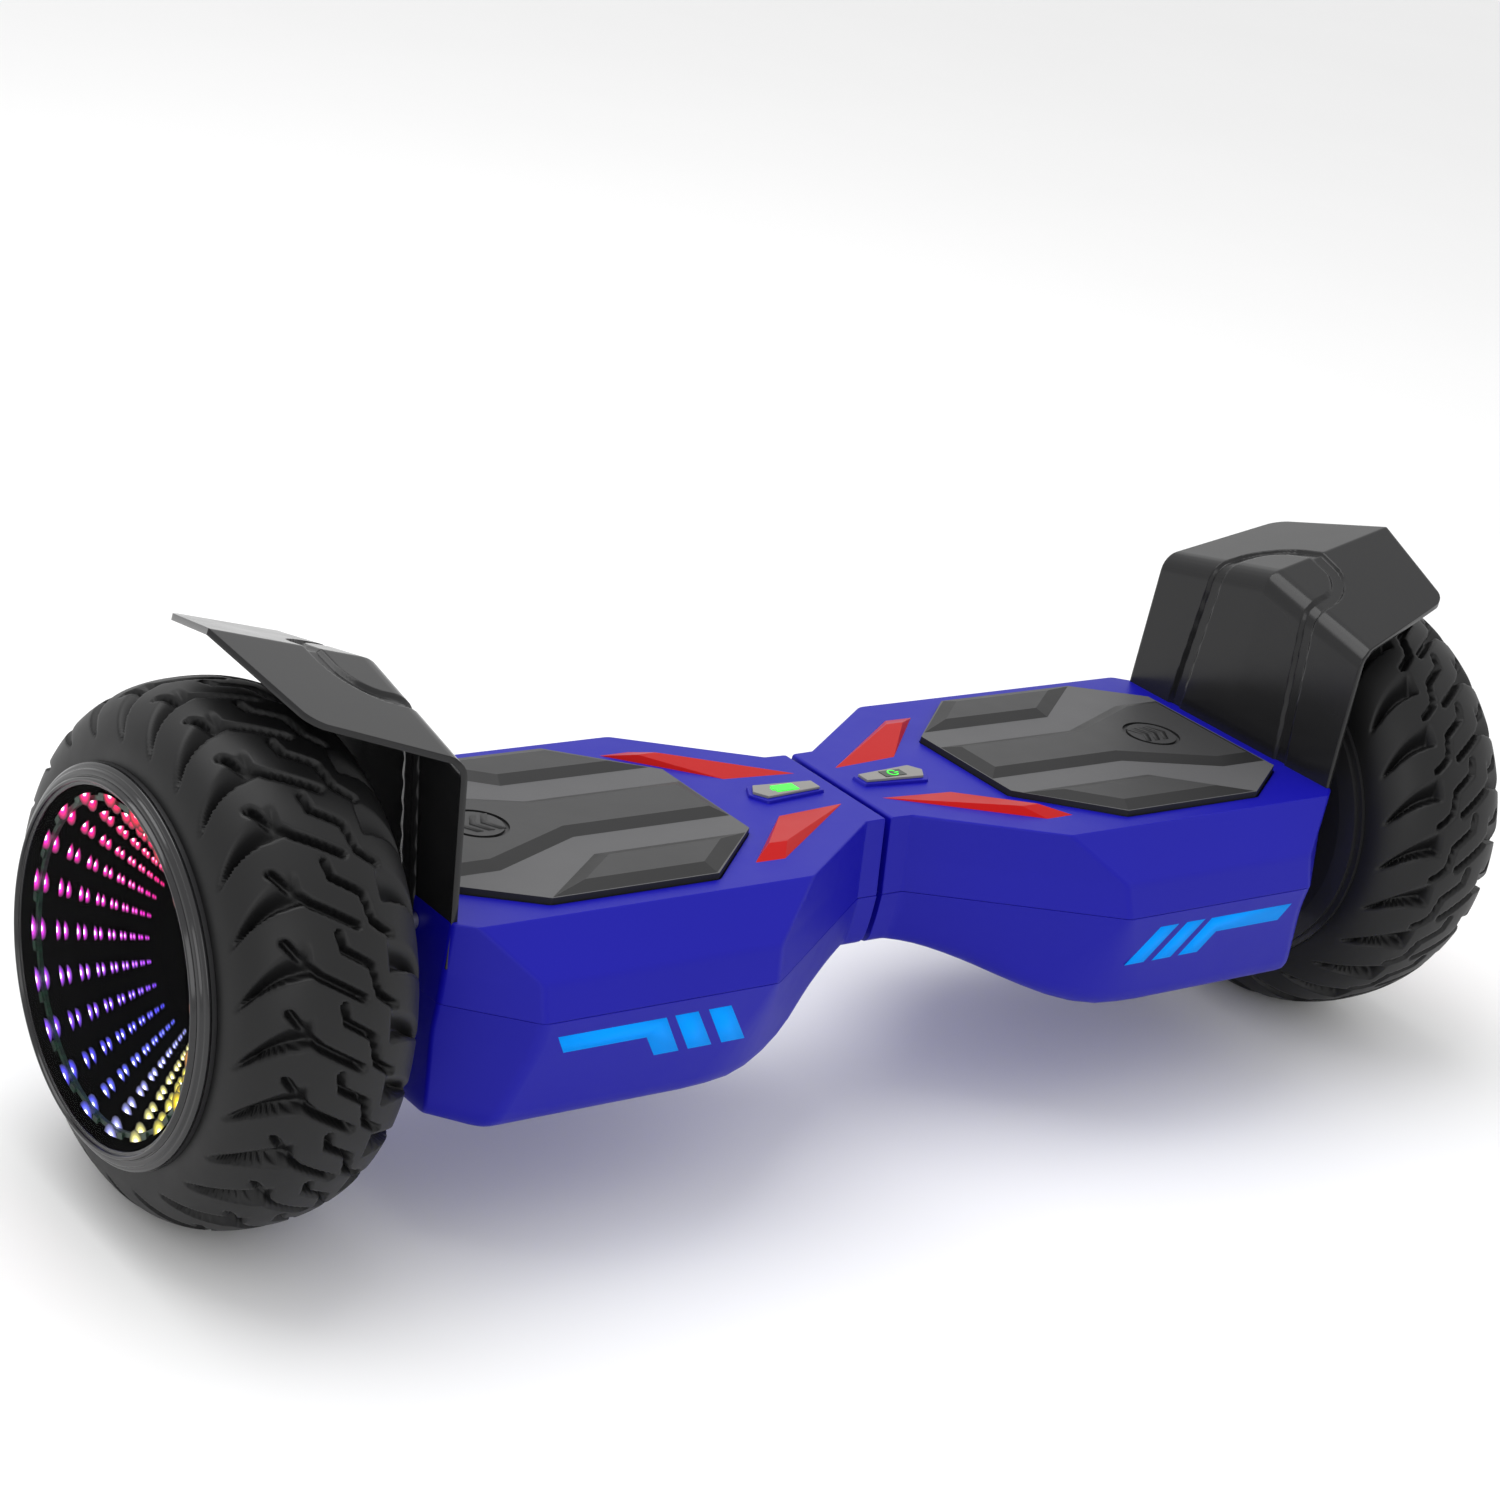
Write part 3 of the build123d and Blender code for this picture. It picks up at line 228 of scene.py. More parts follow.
def copy_of(node, name, material, rounding, pick=None):
    """Copy of a frame node with its triangles merged, flat faces joined and edges rounded.
    pick chooses a face's material from its normal and middle, in millimetres."""
    mesh = frame["nodes"][node].data.copy()
    shape = bmesh.new()
    shape.from_mesh(mesh)
    bmesh.ops.remove_doubles(shape, verts=shape.verts, dist=1e-6)
    bmesh.ops.dissolve_limit(
        shape, angle_limit=math.radians(1), verts=shape.verts, edges=shape.edges
    )
    bmesh.ops.triangulate(shape, faces=shape.faces, ngon_method="EAR_CLIP")
    bmesh.ops.recalc_face_normals(shape, faces=shape.faces)
    shape.to_mesh(mesh)
    shape.free()
    body = frame["nodes"][node]["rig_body"]
    if "custom_normal" in mesh.attributes:
        mesh.attributes.remove(mesh.attributes["custom_normal"])
    piece = finish_piece(name, mesh, material, body, (node,))
    if pick:
        for face in mesh.polygons:
            face.material_index = pick(face.normal, face.center / MM)
    while mesh.uv_layers:
        mesh.uv_layers.remove(mesh.uv_layers[0])
    return crisp(piece, rounding=rounding, angle=12)


# ---- Finishes -------------------------------------------------------------------------------


class Wire:
    """A shader socket. Adding to it or multiplying it adds a Math node."""

    def __init__(self, finish, socket):
        self.finish, self.socket = finish, socket

    def _math(self, operation, first, second):
        return self.finish.node("ShaderNodeMath", {"operation": operation}, {0: first, 1: second})

    def __add__(self, other):
        return self._math("ADD", self, other)

    def __mul__(self, other):
        return self._math("MULTIPLY", self, other)

    __radd__ = __add__
    __rmul__ = __mul__


class Finish:
    """A material, with the one method that makes its nodes."""

    def __init__(self, name, colour, roughness, specular=0.5, **fixed):
        self.material = bpy.data.materials.new(name)
        self.material.use_nodes = True
        self.tree = self.material.node_tree
        self.shader = self.tree.nodes["Principled BSDF"]
        self.feed("Base Color", (*colour, 1))
        self.feed("Roughness", roughness)
        self.feed("Specular IOR Level", specular)
        for socket, value in fixed.items():
            self.feed(socket.replace("_", " "), value)

    def node(self, kind, settings=None, values=None, output=0):
        made = self.tree.nodes.new(kind)
        for key, value in (settings or {}).items():
            if key == "stops":
                ramp = made.color_ramp
                while len(ramp.elements) < len(value):
                    ramp.elements.new(0.5)
                for element, (place, colour) in zip(ramp.elements, value):
                    element.position = place
                    element.color = (*colour, 1)
            else:
                setattr(made, key, value)
        for key, value in (values or {}).items():
            self.join(made.inputs[key], value)
        return Wire(self, made.outputs[output])

    def join(self, socket, value):
        if isinstance(value, Wire):
            self.tree.links.new(value.socket, socket)
        else:
            socket.default_value = value

    def feed(self, name, value):
        self.join(self.shader.inputs[name], value)

    def place(self):
        return self.node("ShaderNodeTexCoord", output="Object")

    def grain(self, scale, detail=3.0, rough=0.5):
        """Noise from 0 to 1. scale is the number of patches in a metre."""
        values = {"Vector": self.place(), "Scale": scale, "Detail": detail, "Roughness": rough}
        return self.node("ShaderNodeTexNoise", None, values)

    def mix(self, share, first, second):
        first, second = [(*c, 1) if isinstance(c, tuple) else c for c in (first, second)]
        return self.node("ShaderNodeMix", {"data_type": "RGBA"}, {0: share, 6: first, 7: second}, 2)

    def bump(self, height, strength, distance):
        values = {"Height": height, "Strength": strength, "Distance": distance}
        self.feed("Normal", self.node("ShaderNodeBump", None, values))


def shade(colour, factor):
    """The colour made lighter or darker."""
    return tuple(min(1.0, channel * factor) for channel in colour)


def moulded(name, colour, roughness=0.4, texture=1400.0, depth=0.00003, **fixed):
    """Moulded plastic or rubber: slow drift of colour and gloss, and a fine spark texture."""
    finish = Finish(name, colour, roughness, **fixed)
    drift = finish.grain(9.0, 2.0)
    finish.feed("Base Color", finish.mix(drift, shade(colour, 0.93), shade(colour, 1.07)))
    finish.feed("Roughness", roughness - 0.05 + 0.1 * finish.grain(60.0, 4.0))
    finish.bump(finish.grain(texture, 2.0), 0.35, depth)
    return finish.material


def metal(name, colour, roughness, stretch=(1.0, 1.0, 1.0), texture=500.0, depth=0.00004):
    """Metal with fine marks. stretch draws the marks out, as on ground or brushed work."""
    finish = Finish(name, colour, roughness, Metallic=1.0)
    values = {"Vector": finish.place(), "Scale": stretch}
    marks_at = finish.node("ShaderNodeMapping", None, values)
    marks = finish.node("ShaderNodeTexNoise", None, {"Vector": marks_at, "Scale": texture, "Detail": 4.0})
    finish.feed("Base Color", finish.mix(marks, shade(colour, 0.85), shade(colour, 1.08)))
    finish.feed("Roughness", roughness - 0.08 + 0.16 * marks)
    finish.bump(marks, 0.3, depth)
    return finish.material


def circuit_board(name, colour):
    """Solder-masked board: dull tracks under a satin lacquer."""
    finish = Finish(name, colour, 0.4)
    values = {"Vector": finish.place(), "Scale": 260.0, "Randomness": 0.35}
    cells = finish.node("ShaderNodeTexVoronoi", {"feature": "DISTANCE_TO_EDGE"}, values, "Distance")
    tracks = finish.node(
        "ShaderNodeValToRGB",
        {"stops": [(0.06, (1, 1, 1)), (0.14, (0, 0, 0))]},
        {"Fac": cells},
    )
    finish.feed("Base Color", finish.mix(tracks, colour, shade(colour, 2.2)))
    finish.bump(tracks, 0.3, 0.00005)
    return finish.material


def tyre_rubber(settings):
    """Black tread rubber: random dusty patches, satin sheen and a fine pitted skin."""
    colour = tuple(settings.rubber)
    finish = Finish("tread_rubber", colour, settings.rubber_roughness, specular=0.3)
    dust = finish.grain(28.0, 5.0, 0.6)
    finish.feed("Base Color", finish.mix(dust, shade(colour, 0.8), shade(colour, 1.25)))
    finish.feed("Roughness", settings.rubber_roughness - 0.06 + 0.12 * finish.grain(90.0, 4.0))
    finish.bump(finish.grain(1500.0, 3.0) + 0.4 * finish.grain(260.0, 2.0), 0.3, 0.00005)
    return finish.material


def laminated(name, colour):
    """Stack of thin steel sheets across the axle line."""
    finish = Finish(name, colour, 0.45, Metallic=0.9)
    values = {"Vector": finish.place(), "Scale": 480.0}
    layers = finish.node("ShaderNodeTexWave", {"bands_direction": "X"}, values)
    finish.feed("Base Color", finish.mix(layers, shade(colour, 0.55), colour))
    finish.bump(layers, 0.5, 0.0001)
    return finish.material


def wound_copper(name, colour):
    """Enamelled wire: fine ribs along the axle line."""
    finish = Finish(name, colour, 0.32, Metallic=0.85)
    values = {"Vector": finish.place(), "Scale": 330.0, "Distortion": 0.6}
    ribs = finish.node("ShaderNodeTexWave", {"bands_direction": "DIAGONAL"}, values)
    finish.feed("Base Color", finish.mix(ribs, shade(colour, 0.6), colour))
    finish.bump(ribs, 0.6, 0.0002)
    return finish.material


def glowing(name, settings):
    """Lamp light: the colour stored at each point of the piece."""
    finish = Finish(name, (0.0, 0.0, 0.0), 0.6)
    colour = finish.node("ShaderNodeAttribute", {"attribute_name": "glow"}, output="Color")
    finish.feed("Emission Color", colour)
    finish.feed("Emission Strength", settings.brightness)
    return finish.material


def lit(name, colour, strength):
    """Lit lens with a faint diffusing grain."""
    finish = Finish(name, shade(colour, 0.4), 0.25)
    grain = finish.grain(900.0, 2.0)
    finish.feed("Emission Color", finish.mix(grain, shade(colour, 0.85), colour))
    finish.feed("Emission Strength", strength)
    return finish.material


def smoked(name):
    """Clear dark window with hardly visible dust."""
    finish = Finish(name, (0.004, 0.004, 0.005), 0.05, specular=0.2)
    finish.feed("Alpha", 0.05 + 0.02 * finish.grain(40.0, 4.0))
    return finish.material


# ---- Settings -------------------------------------------------------------------------------


def colour_value(name, description, default):
    return FloatVectorProperty(
        name=name, description=description, subtype="COLOR", size=3, min=0, max=1, default=default
    )


class CoverSettings(bpy.types.PropertyGroup):
    """Body covers, trims and marks."""

    blue: colour_value("Blue", "Moulded colour of the covers", (0.003, 0.002, 0.30))
    red: colour_value("Red", "Colour of the faceted trims", (0.40, 0.001, 0.0008))
    mark: colour_value("Marks", "Colour of the painted bars", (0.0, 0.30, 1.0))
    roughness: FloatProperty(
        name="Roughness", description="Gloss of the covers", subtype="FACTOR", default=0.42
    )
    crease: FloatProperty(name="Crease", description="Rounding of the creases, mm", default=2.2)
    belly_corner: FloatProperty(
        name="Belly corner", description="Reach of the belly's rounded corner, mm", default=11.0
    )
    belly_turn: FloatProperty(
        name="Belly turn", description="Reach of the flare's corner at the belly, mm", default=38.0
    )


class PadSettings(bpy.types.PropertyGroup):
    """Foot pads. The slope colour is a darker copy of the same rubber for the sloping faces: painted shade.
    """

    slab: colour_value("Slab", "Colour of the low flat parts", (0.085, 0.085, 0.088))
    raised: colour_value("Raised", "Colour of the raised flat parts", (0.036, 0.036, 0.037))
    # slope: painted shade, the pad rubber made darker for faces that slope
    slope: colour_value("Slope", "Colour of the slopes", (0.012, 0.012, 0.0125))


class FenderSettings(bpy.types.PropertyGroup):
    """Folded fenders."""

    channel_width: FloatProperty(name="Channel", description="Width of the groove, mm", default=7.0)
    channel_depth: FloatProperty(name="Depth", description="Depth of the groove, mm", default=1.6)
    grid: FloatProperty(name="Grid", description="Spacing of the surface's points, mm", default=0.8)


class TyreSettings(bpy.types.PropertyGroup):
    """Off-road tyres."""

    pitches: IntProperty(name="Pitches", description="Tread repeats round the tyre", default=25)
    steps: IntProperty(name="Steps", description="Points round one repeat", default=28)
    groove_depth: FloatProperty(name="Groove depth", description="mm", default=6.0)
    rubber: colour_value("Rubber", "Colour of the rubber", (0.006, 0.006, 0.0063))
    rubber_roughness: FloatProperty(
        name="Roughness", description="Gloss of the rubber", subtype="FACTOR", default=0.48
    )


class LampSettings(bpy.types.PropertyGroup):
    """Lit wheel faces."""

    streams: IntProperty(name="Streams", description="Rows of lamps towards the middle", default=20)
    echoes: IntProperty(name="Echoes", description="Pairs of lamps in one row", default=9)
    brightness: FloatProperty(name="Brightness", description="Strength of the light", default=5.0)


class StageSettings(bpy.types.PropertyGroup):
    """Floor, light and camera."""

    sky: FloatProperty(name="Sky", description="Strength of the white surroundings", default=0.95)
    key: FloatProperty(
        name="Key", description="Power of the overhead light", unit="POWER", default=22.0
    )


GROUPS = {
    "covers": CoverSettings,
    "pads": PadSettings,
    "fenders": FenderSettings,
    "tyres": TyreSettings,
    "lamps": LampSettings,
    "stage": StageSettings,
}


class BoardSettings(bpy.types.PropertyGroup):
    """All settings of the board."""

    __annotations__ = {name: PointerProperty(type=group) for name, group in GROUPS.items()}


# ---- Operators ------------------------------------------------------------------------------


class BOARD_OT_stage(bpy.types.Operator):
    """Pale floor, soft studio light and the camera"""

    bl_idname = "board.stage"
    bl_label = "Stage"

    def execute(self, context):
        settings = context.scene.board.stage
        self.floor()
        self.lights(settings)
        self.camera(context.scene)
        return {"FINISHED"}

    def floor(self):
        """Flat square sheet under the wheels."""
        half = 6000.0
        corners = [(-half, -half, 0), (half, -half, 0), (half, half, 0), (-half, half, 0)]
        mesh = bpy.data.meshes.new("floor")
        mesh.from_pydata([tuple(c * MM for c in p) for p in corners], [], [(0, 1, 2, 3)])
        floor = bpy.data.objects.new("floor", mesh)
        bpy.context.scene.collection.objects.link(floor)
        finish = Finish("pale_floor", (0.86, 0.86, 0.86), 0.9)
        finish.feed("Base Color", finish.mix(finish.grain(3.0), (0.85, 0.85, 0.85), (0.87, 0.87, 0.87)))
        mesh.materials.append(finish.material)

    def lights(self, settings):
        """White surroundings, a broad panel overhead and a weaker one from the front."""
        world = bpy.data.worlds.new("surroundings")
        world.use_nodes = True
        sky = world.node_tree.nodes["Background"]
        sky.inputs["Color"].default_value = (1, 1, 1, 1)
        sky.inputs["Strength"].default_value = settings.sky
        bpy.context.scene.world = world
        for name, power, size, where in (
            ("overhead", settings.key, 1.6, (-0.3, 0.5, 1.9)),
            ("front", settings.key * 0.35, 1.2, (-1.2, -1.8, 0.9)),
        ):
            lamp = bpy.data.lights.new(name, "AREA")
            lamp.energy, lamp.size = power, size
            held = bpy.data.objects.new(name, lamp)
            held.location = where
            aim = -held.location
            held.rotation_euler = aim.to_track_quat("-Z", "Y").to_euler()
            bpy.context.scene.collection.objects.link(held)

    def camera(self, scene):
        """Three-quarter view from the front left, a little rolled."""
        yaw, pitch, roll = (math.radians(a) for a in (40.32, -21.06, 9.86))
        forward = np.array(
            [math.sin(yaw) * math.cos(pitch), math.cos(yaw) * math.cos(pitch), math.sin(pitch)]
        )
        level = np.array([math.cos(yaw), -math.sin(yaw), 0.0])
        rise = np.cross(level, forward)
        right = level * math.cos(roll) + rise * math.sin(roll)
        up = rise * math.cos(roll) - level * math.sin(roll)
        data = bpy.data.cameras.new("camera")
        data.sensor_width = 36.0
        data.lens = 79.823
        data.clip_start, data.clip_end = 0.05, 50
        camera = bpy.data.objects.new("camera", data)
        turn = Matrix([*zip(right, up, -forward)]).to_4x4()
        camera.matrix_world = Matrix.Translation((-0.91547, -1.01521, 0.67931)) @ turn
        scene.collection.objects.link(camera)
        scene.camera = camera
        scene.view_settings.view_transform = "Standard"


class BOARD_OT_covers(bpy.types.Operator):
    """Blue top and bottom covers of both halves"""

    bl_idname = "board.covers"
    bl_label = "Covers"

    def execute(self, context):
        settings = context.scene.board.covers
        blue = moulded("blue_plastic", tuple(settings.blue), settings.roughness, specular=0.22)
        for side, sign in SIDES.items():
            for name, net, rows in (
                ("top_shell", *self.top(settings)),
                ("bottom_shell", *self.bottom(settings)),
            ):
                points = rows * (sign, 1, 1)
                faces = grid_faces(*points.shape[:2], wrap_columns=True)
                node = f"{name.split('_')[0]}_cover_{side}"
                piece = add_piece(
                    f"{name}_{side}", points, faces, blue, f"{side}_half", (node,)
                )
                if name == "bottom_shell":
                    self.pierce(piece, sign)
                crisp(piece, thickness=COVER_T if name == "top_shell" else 0.0)
            self.plinth(side, sign, blue)
        return {"FINISHED"}

    def pierce(self, piece, sign):
        """Cuts the round hole of the port or button through the rear wall, with a short rod
        square to the wall."""
        down = 25.0
        lean = math.atan(WALL_LEAN)
        radius = PORT_R if sign > 0 else BUTTON_R
        turn = np.linspace(0, 2 * math.pi, 48, endpoint=False)[None]
        out = np.array([[-12.0], [12.0]])
        across, up = radius * np.cos(turn) + 0 * out, radius * np.sin(turn) + 0 * out
        y = BELT_HALF - down * math.tan(lean) + out * math.cos(lean) + up * math.sin(lean)
        z = AXLE_Z - down - out * math.sin(lean) + up * math.cos(lean)
        points = np.stack([sign * PORT_X + across, y, z], -1).reshape(-1, 3) * MM
        faces = [*grid_faces(2, 48, wrap_columns=True).tolist(), [*range(48)], [*range(95, 47, -1)]]
        mesh = bpy.data.meshes.new("rod")
        mesh.from_pydata(points.tolist(), [], faces)
        shape = bmesh.new()
        shape.from_mesh(mesh)
        bmesh.ops.recalc_face_normals(shape, faces=shape.faces)
        shape.to_mesh(mesh)
        shape.free()
        rod = bpy.data.objects.new("rod", mesh)
        bpy.context.scene.collection.objects.link(rod)
        wall = piece.modifiers.new("wall", "SOLIDIFY")
        wall.thickness, wall.offset = COVER_T * MM, -1
        cut = piece.modifiers.new("cut", "BOOLEAN")
        cut.operation, cut.solver, cut.object = "DIFFERENCE", "EXACT", rod
        held = piece.evaluated_get(bpy.context.evaluated_depsgraph_get())
        piece.data = bpy.data.meshes.new_from_object(held)
        piece.modifiers.clear()
        bpy.data.objects.remove(rod)
        bpy.data.meshes.remove(mesh)

    def top(self, settings):
        """Rings of the plan outline at the lip, belt, shoulder, deck edge and pad opening,
        joined by flat facets; each crease is then rounded along both directions."""
        belt = loop_of(BELT_LINE, AXLE_Z + LIP_GAP)
        lip = belt * (1, 0.97, 1)
        hole = loop_of(PAD_HOLE, DECK_Z)
        rings = [
            lip,
            belt,
            loop_of(SHOULDER_LINE, SHOULDER_Z),
            loop_of(DECK_LINE, DECK_Z),
            hole,
            hole - (0, 0, 7),
        ]
        c = settings.crease
        across = np.array([0.8, 1, c, c, 2, 2, c, c, 1, 0.8])
        net = soften(np.array(rings), across, 1, closed=True)
        return net, soften(net, [0, 0.5, c, 1.4, 0.6, 0], 0)

    def bottom(self, settings):
        """Rings of the plan outline at the lip, the belt, just below it and the belly's corner,
        and two inner rings that close the belly. The belly follows its own height curve."""
        share = np.linspace(0, 0.5, 7)[1:, None]

        def ring(line, level, corner):
            """Ring with points added along the flare and its outer corner rounded."""
            line = np.array(line, float)
            line = np.concatenate([line[:2], line[1] + (line[2] - line[1]) * share, line[2:]])
            reach = np.full(len(line), 0.4)
            reach[[1, -3, -2, -1]] = 2.0, corner, 4.0, 1.6
            net = loop_of(line, level)[None]
            return soften(net, np.r_[reach, reach[::-1]], 1, closed=True, steps=6, limit=0.9)[0]

        belt = ring(BELT_LINE, AXLE_Z - LIP_GAP, 3.0)
        below = ring(BELT_LINE, AXLE_Z - 12, 8.0) * (1, 0.974, 1)
        foot = [(SEAM_X, 35.5), (NECK_X, 35.5), (93.3, 85), (225, 85), (END_X - 2, 66.3)]
        corner = ring(foot, 0, settings.belly_turn)
        half_way = corner * (1, 0.5, 1)
        half_way[:, 0] = np.clip(half_way[:, 0], SEAM_X + 4, END_X - 16)
        middle = corner * (1, 0, 1)
        middle[:, 0] = np.clip(middle[:, 0], SEAM_X + 8, END_X - 28)
        for level in (corner, half_way, middle):
            level[:, 2] = belly_z(level[:, 0])
        net = np.array([belt * (1, 0.97, 1), belt, below, corner, half_way, middle])
        return net, soften(net, [0, 0.5, 6, settings.belly_corner, 0, 0], 0, steps=5)

    def plinth(self, side, sign, blue):
        """Low six-sided plinth under the indicator: a ring drawn in over its height."""
        foot = np.array([(10.9, 0), (10.9, 4.7), (45.5, 8.6), (50.6, 0)])
        ring = np.concatenate([foot[1:], foot[1:-1][::-1] * (1, -1)])
        middle = np.array([ring[:, 0].mean(), 0])
        levels = [(1.0, -0.5), (0.965, PLINTH_RISE), (0.0, PLINTH_RISE)]
        rows = np.array(
            [np.c_[middle + (ring - middle) * k, np.full(len(ring), DECK_Z + h)] for k, h in levels]
        )
        rows = soften(soften(rows, 1.2, 1, closed=True), [0, 0.4, 0], 0) * (sign, 1, 1)
        faces = grid_faces(*rows.shape[:2], wrap_columns=True)
        crisp(add_piece(f"plinth_{side}", rows, faces, blue, f"{side}_half"))


class BOARD_OT_trims(bpy.types.Operator):
    """Red trims, indicator plates, lenses and painted bars"""

    bl_idname = "board.trims"
    bl_label = "Trims"

    def execute(self, context):
        settings = context.scene.board.covers
        red = moulded("red_gloss", tuple(settings.red), 0.3, 700.0, 0.00001, specular=0.12)
        grey = moulded("grey_plate", (0.20, 0.195, 0.185), 0.38)
        dark = moulded("dark_lens", (0.012, 0.02, 0.014), 0.15, 700.0, 0.00001)
        green = lit("green_light", (0.03, 1.0, 0.03), 1.1)
        cyan = moulded("cyan_paint", tuple(settings.mark), 0.5, 900.0, 0.00001, specular=0.05)
        for side, sign in SIDES.items():
            half = f"{side}_half"
            copy_of(f"red_trims_{side}", f"trim_wedges_{side}", red, 0.35)
            copy_of(f"indicator_plate_{side}", f"badge_plate_{side}", grey, 0.25)
            lens = green if side == "left" else dark
            copy_of(f"indicator_lens_{side}", f"badge_lens_{side}", lens, 0.12)
            self.bars(side, sign, cyan, half)
        self.battery_nub(green)
        self.power_mark(green)
        return {"FINISHED"}

    def bars(self, side, sign, paint, half):
        """Slanted painted bars on the front face. y follows the face's lean with height."""
        shapes = [
            [(153.4, 100.6), (205.6, 100.6), (200.5, 92.0), (160.3, 92.0), (153.3, 81.6), (141, 81.6)],
            [(137.6, 100.8), (149.2, 100.8), (136.3, 81.6), (124.4, 81.6)],
            [(121.0, 100.8), (132.4, 100.8), (119.3, 81.6), (107.4, 81.6)],
        ]
        points, faces = [], []
        for shape in shapes:
            first = len(points)
            for lift in (0.12, -0.05):
                points += [(sign * x, -(BELT_HALF - WALL_LEAN * (AXLE_Z - z)) - lift, z) for x, z in shape]
            n = len(shape)
            faces.append([first + k for k in range(n)])
            faces.append([first + n + k for k in reversed(range(n))])
            faces += [
                [first + k, first + n + k, first + n + (k + 1) % n, first + (k + 1) % n]
                for k in range(n)
            ]
        add_piece(f"painted_bars_{side}", points, faces, paint, half)

    def battery_nub(self, green):
        """Small lit tab at the end of the battery-shaped lens."""
        low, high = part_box("indicator_lens_left")
        x0, top = low.x / MM, high.z / MM
        ring = np.array([(x0 - 1.4, -1.2), (x0 + 0.1, -1.2), (x0 + 0.1, 1.2), (x0 - 1.4, 1.2)])
        rows = np.array([np.c_[ring, np.full(4, z)] for z in (top - 0.5, top)])
        rows = np.concatenate([rows, rows[-1:] * 0 + rows[-1].mean(0)])
        faces = grid_faces(3, 4, wrap_columns=True)
        add_piece("battery_nub", rows, faces, green, "left_half")

    def power_mark(self, green):
        """Open ring and bar of the power sign: a band along an arc of 290 degrees."""
        low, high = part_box("indicator_lens_right")
        cx, top = (low.x + high.x) / 2 / MM, high.z / MM
        angle = np.linspace(math.radians(35), math.radians(325), 40)
        section = np.array([(2.0, 0), (2.0, 0.12), (2.75, 0.12), (2.75, 0)])
        r, z = section[:, 0], section[:, 1]
        rows = np.stack(
            [
                cx + np.cos(angle)[:, None] * r,
                np.sin(angle)[:, None] * r,
                top + z + 0 * angle[:, None],
            ],
            -1,
        )
        faces = [list(f) for f in grid_faces(*rows.shape[:2], wrap_columns=True)]
        count = rows.shape[0] * 4
        faces += [[0, 1, 2, 3], [count - 1, count - 2, count - 3, count - 4]]
        foot = [(0.9, -0.38), (3.2, -0.38), (3.2, 0.38), (0.9, 0.38)]
        bar = [(cx + a, b, top + h) for h in (0, 0.12) for a, b in foot]
        points = np.concatenate([rows.reshape(-1, 3), np.array(bar)])
        cube = [(3, 2, 1, 0), (4, 5, 6, 7), (0, 1, 5, 4), (1, 2, 6, 5), (2, 3, 7, 6), (3, 0, 4, 7)]
        faces += [[count + k for k in f] for f in cube]
        add_piece("power_sign", points, faces, green, "right_half")


class BOARD_OT_pads(bpy.types.Operator):
    """Rubber foot pads"""

    bl_idname = "board.pads"
    bl_label = "Foot pads"

    def execute(self, context):
        settings = context.scene.board.pads
        rubbers = [
            moulded("pad_slab", tuple(settings.slab), 0.55, 1100.0, 0.00008, specular=0.3),
            moulded("pad_raised", tuple(settings.raised), 0.5, 1100.0, 0.00008, specular=0.3),
            # third copy, darker: painted shade for the sloping faces
            moulded("pad_slope_shade", tuple(settings.slope), 0.5, 1100.0, 0.00005, specular=0.3),
        ]
        for side in SIDES:
            top = spot(f"foot_pad_{side}", 1, 2)

            def pick(normal, centre, top=top):
                # sloping faces take the darker copy of the rubber: painted shade
                if normal.z < 0.97:
                    return 2
                return 1 if centre.z > top - 1.5 else 0

            copy_of(f"foot_pad_{side}", f"pad_{side}", rubbers, 0.5, pick)
            # the emblem takes the same darker rubber that paints shade on the slopes
            self.emblem(side, SIDES[side], rubbers[2])
        return {"FINISHED"}

    def emblem(self, side, sign, rubber):
        """Three chevrons in the round recess: each is a bent bar."""
        top = spot(f"foot_pad_{side}", 1, 2)
        cx = spot("foot_pad_right", 1, 0) - 40.0
        points, faces = [], []
        for k in (-1, 0, 1):
            x = cx + 5.5 * k
            bend = [(x - 4.5, -7.5), (x - 1.4, -7.5), (x + 3.2, 0), (x - 1.4, 7.5), (x - 4.5, 7.5), (x, 0)]
            first = len(points)
            for z in (top - 0.3, top + 0.25):
                points += [(sign * a, b, z) for a, b in bend]
            faces += [[first + i for i in q] for q in ((0, 1, 2, 5), (5, 2, 3, 4))]
            faces += [[first + 6 + i for i in q] for q in ((5, 2, 1, 0), (4, 3, 2, 5))]
            around = [(i, (i + 1) % 6) for i in range(6)]
            faces += [[first + i, first + j, first + 6 + j, first + 6 + i] for i, j in around]
        add_piece(f"pad_emblem_{side}", points, faces, rubber, f"{side}_pad")


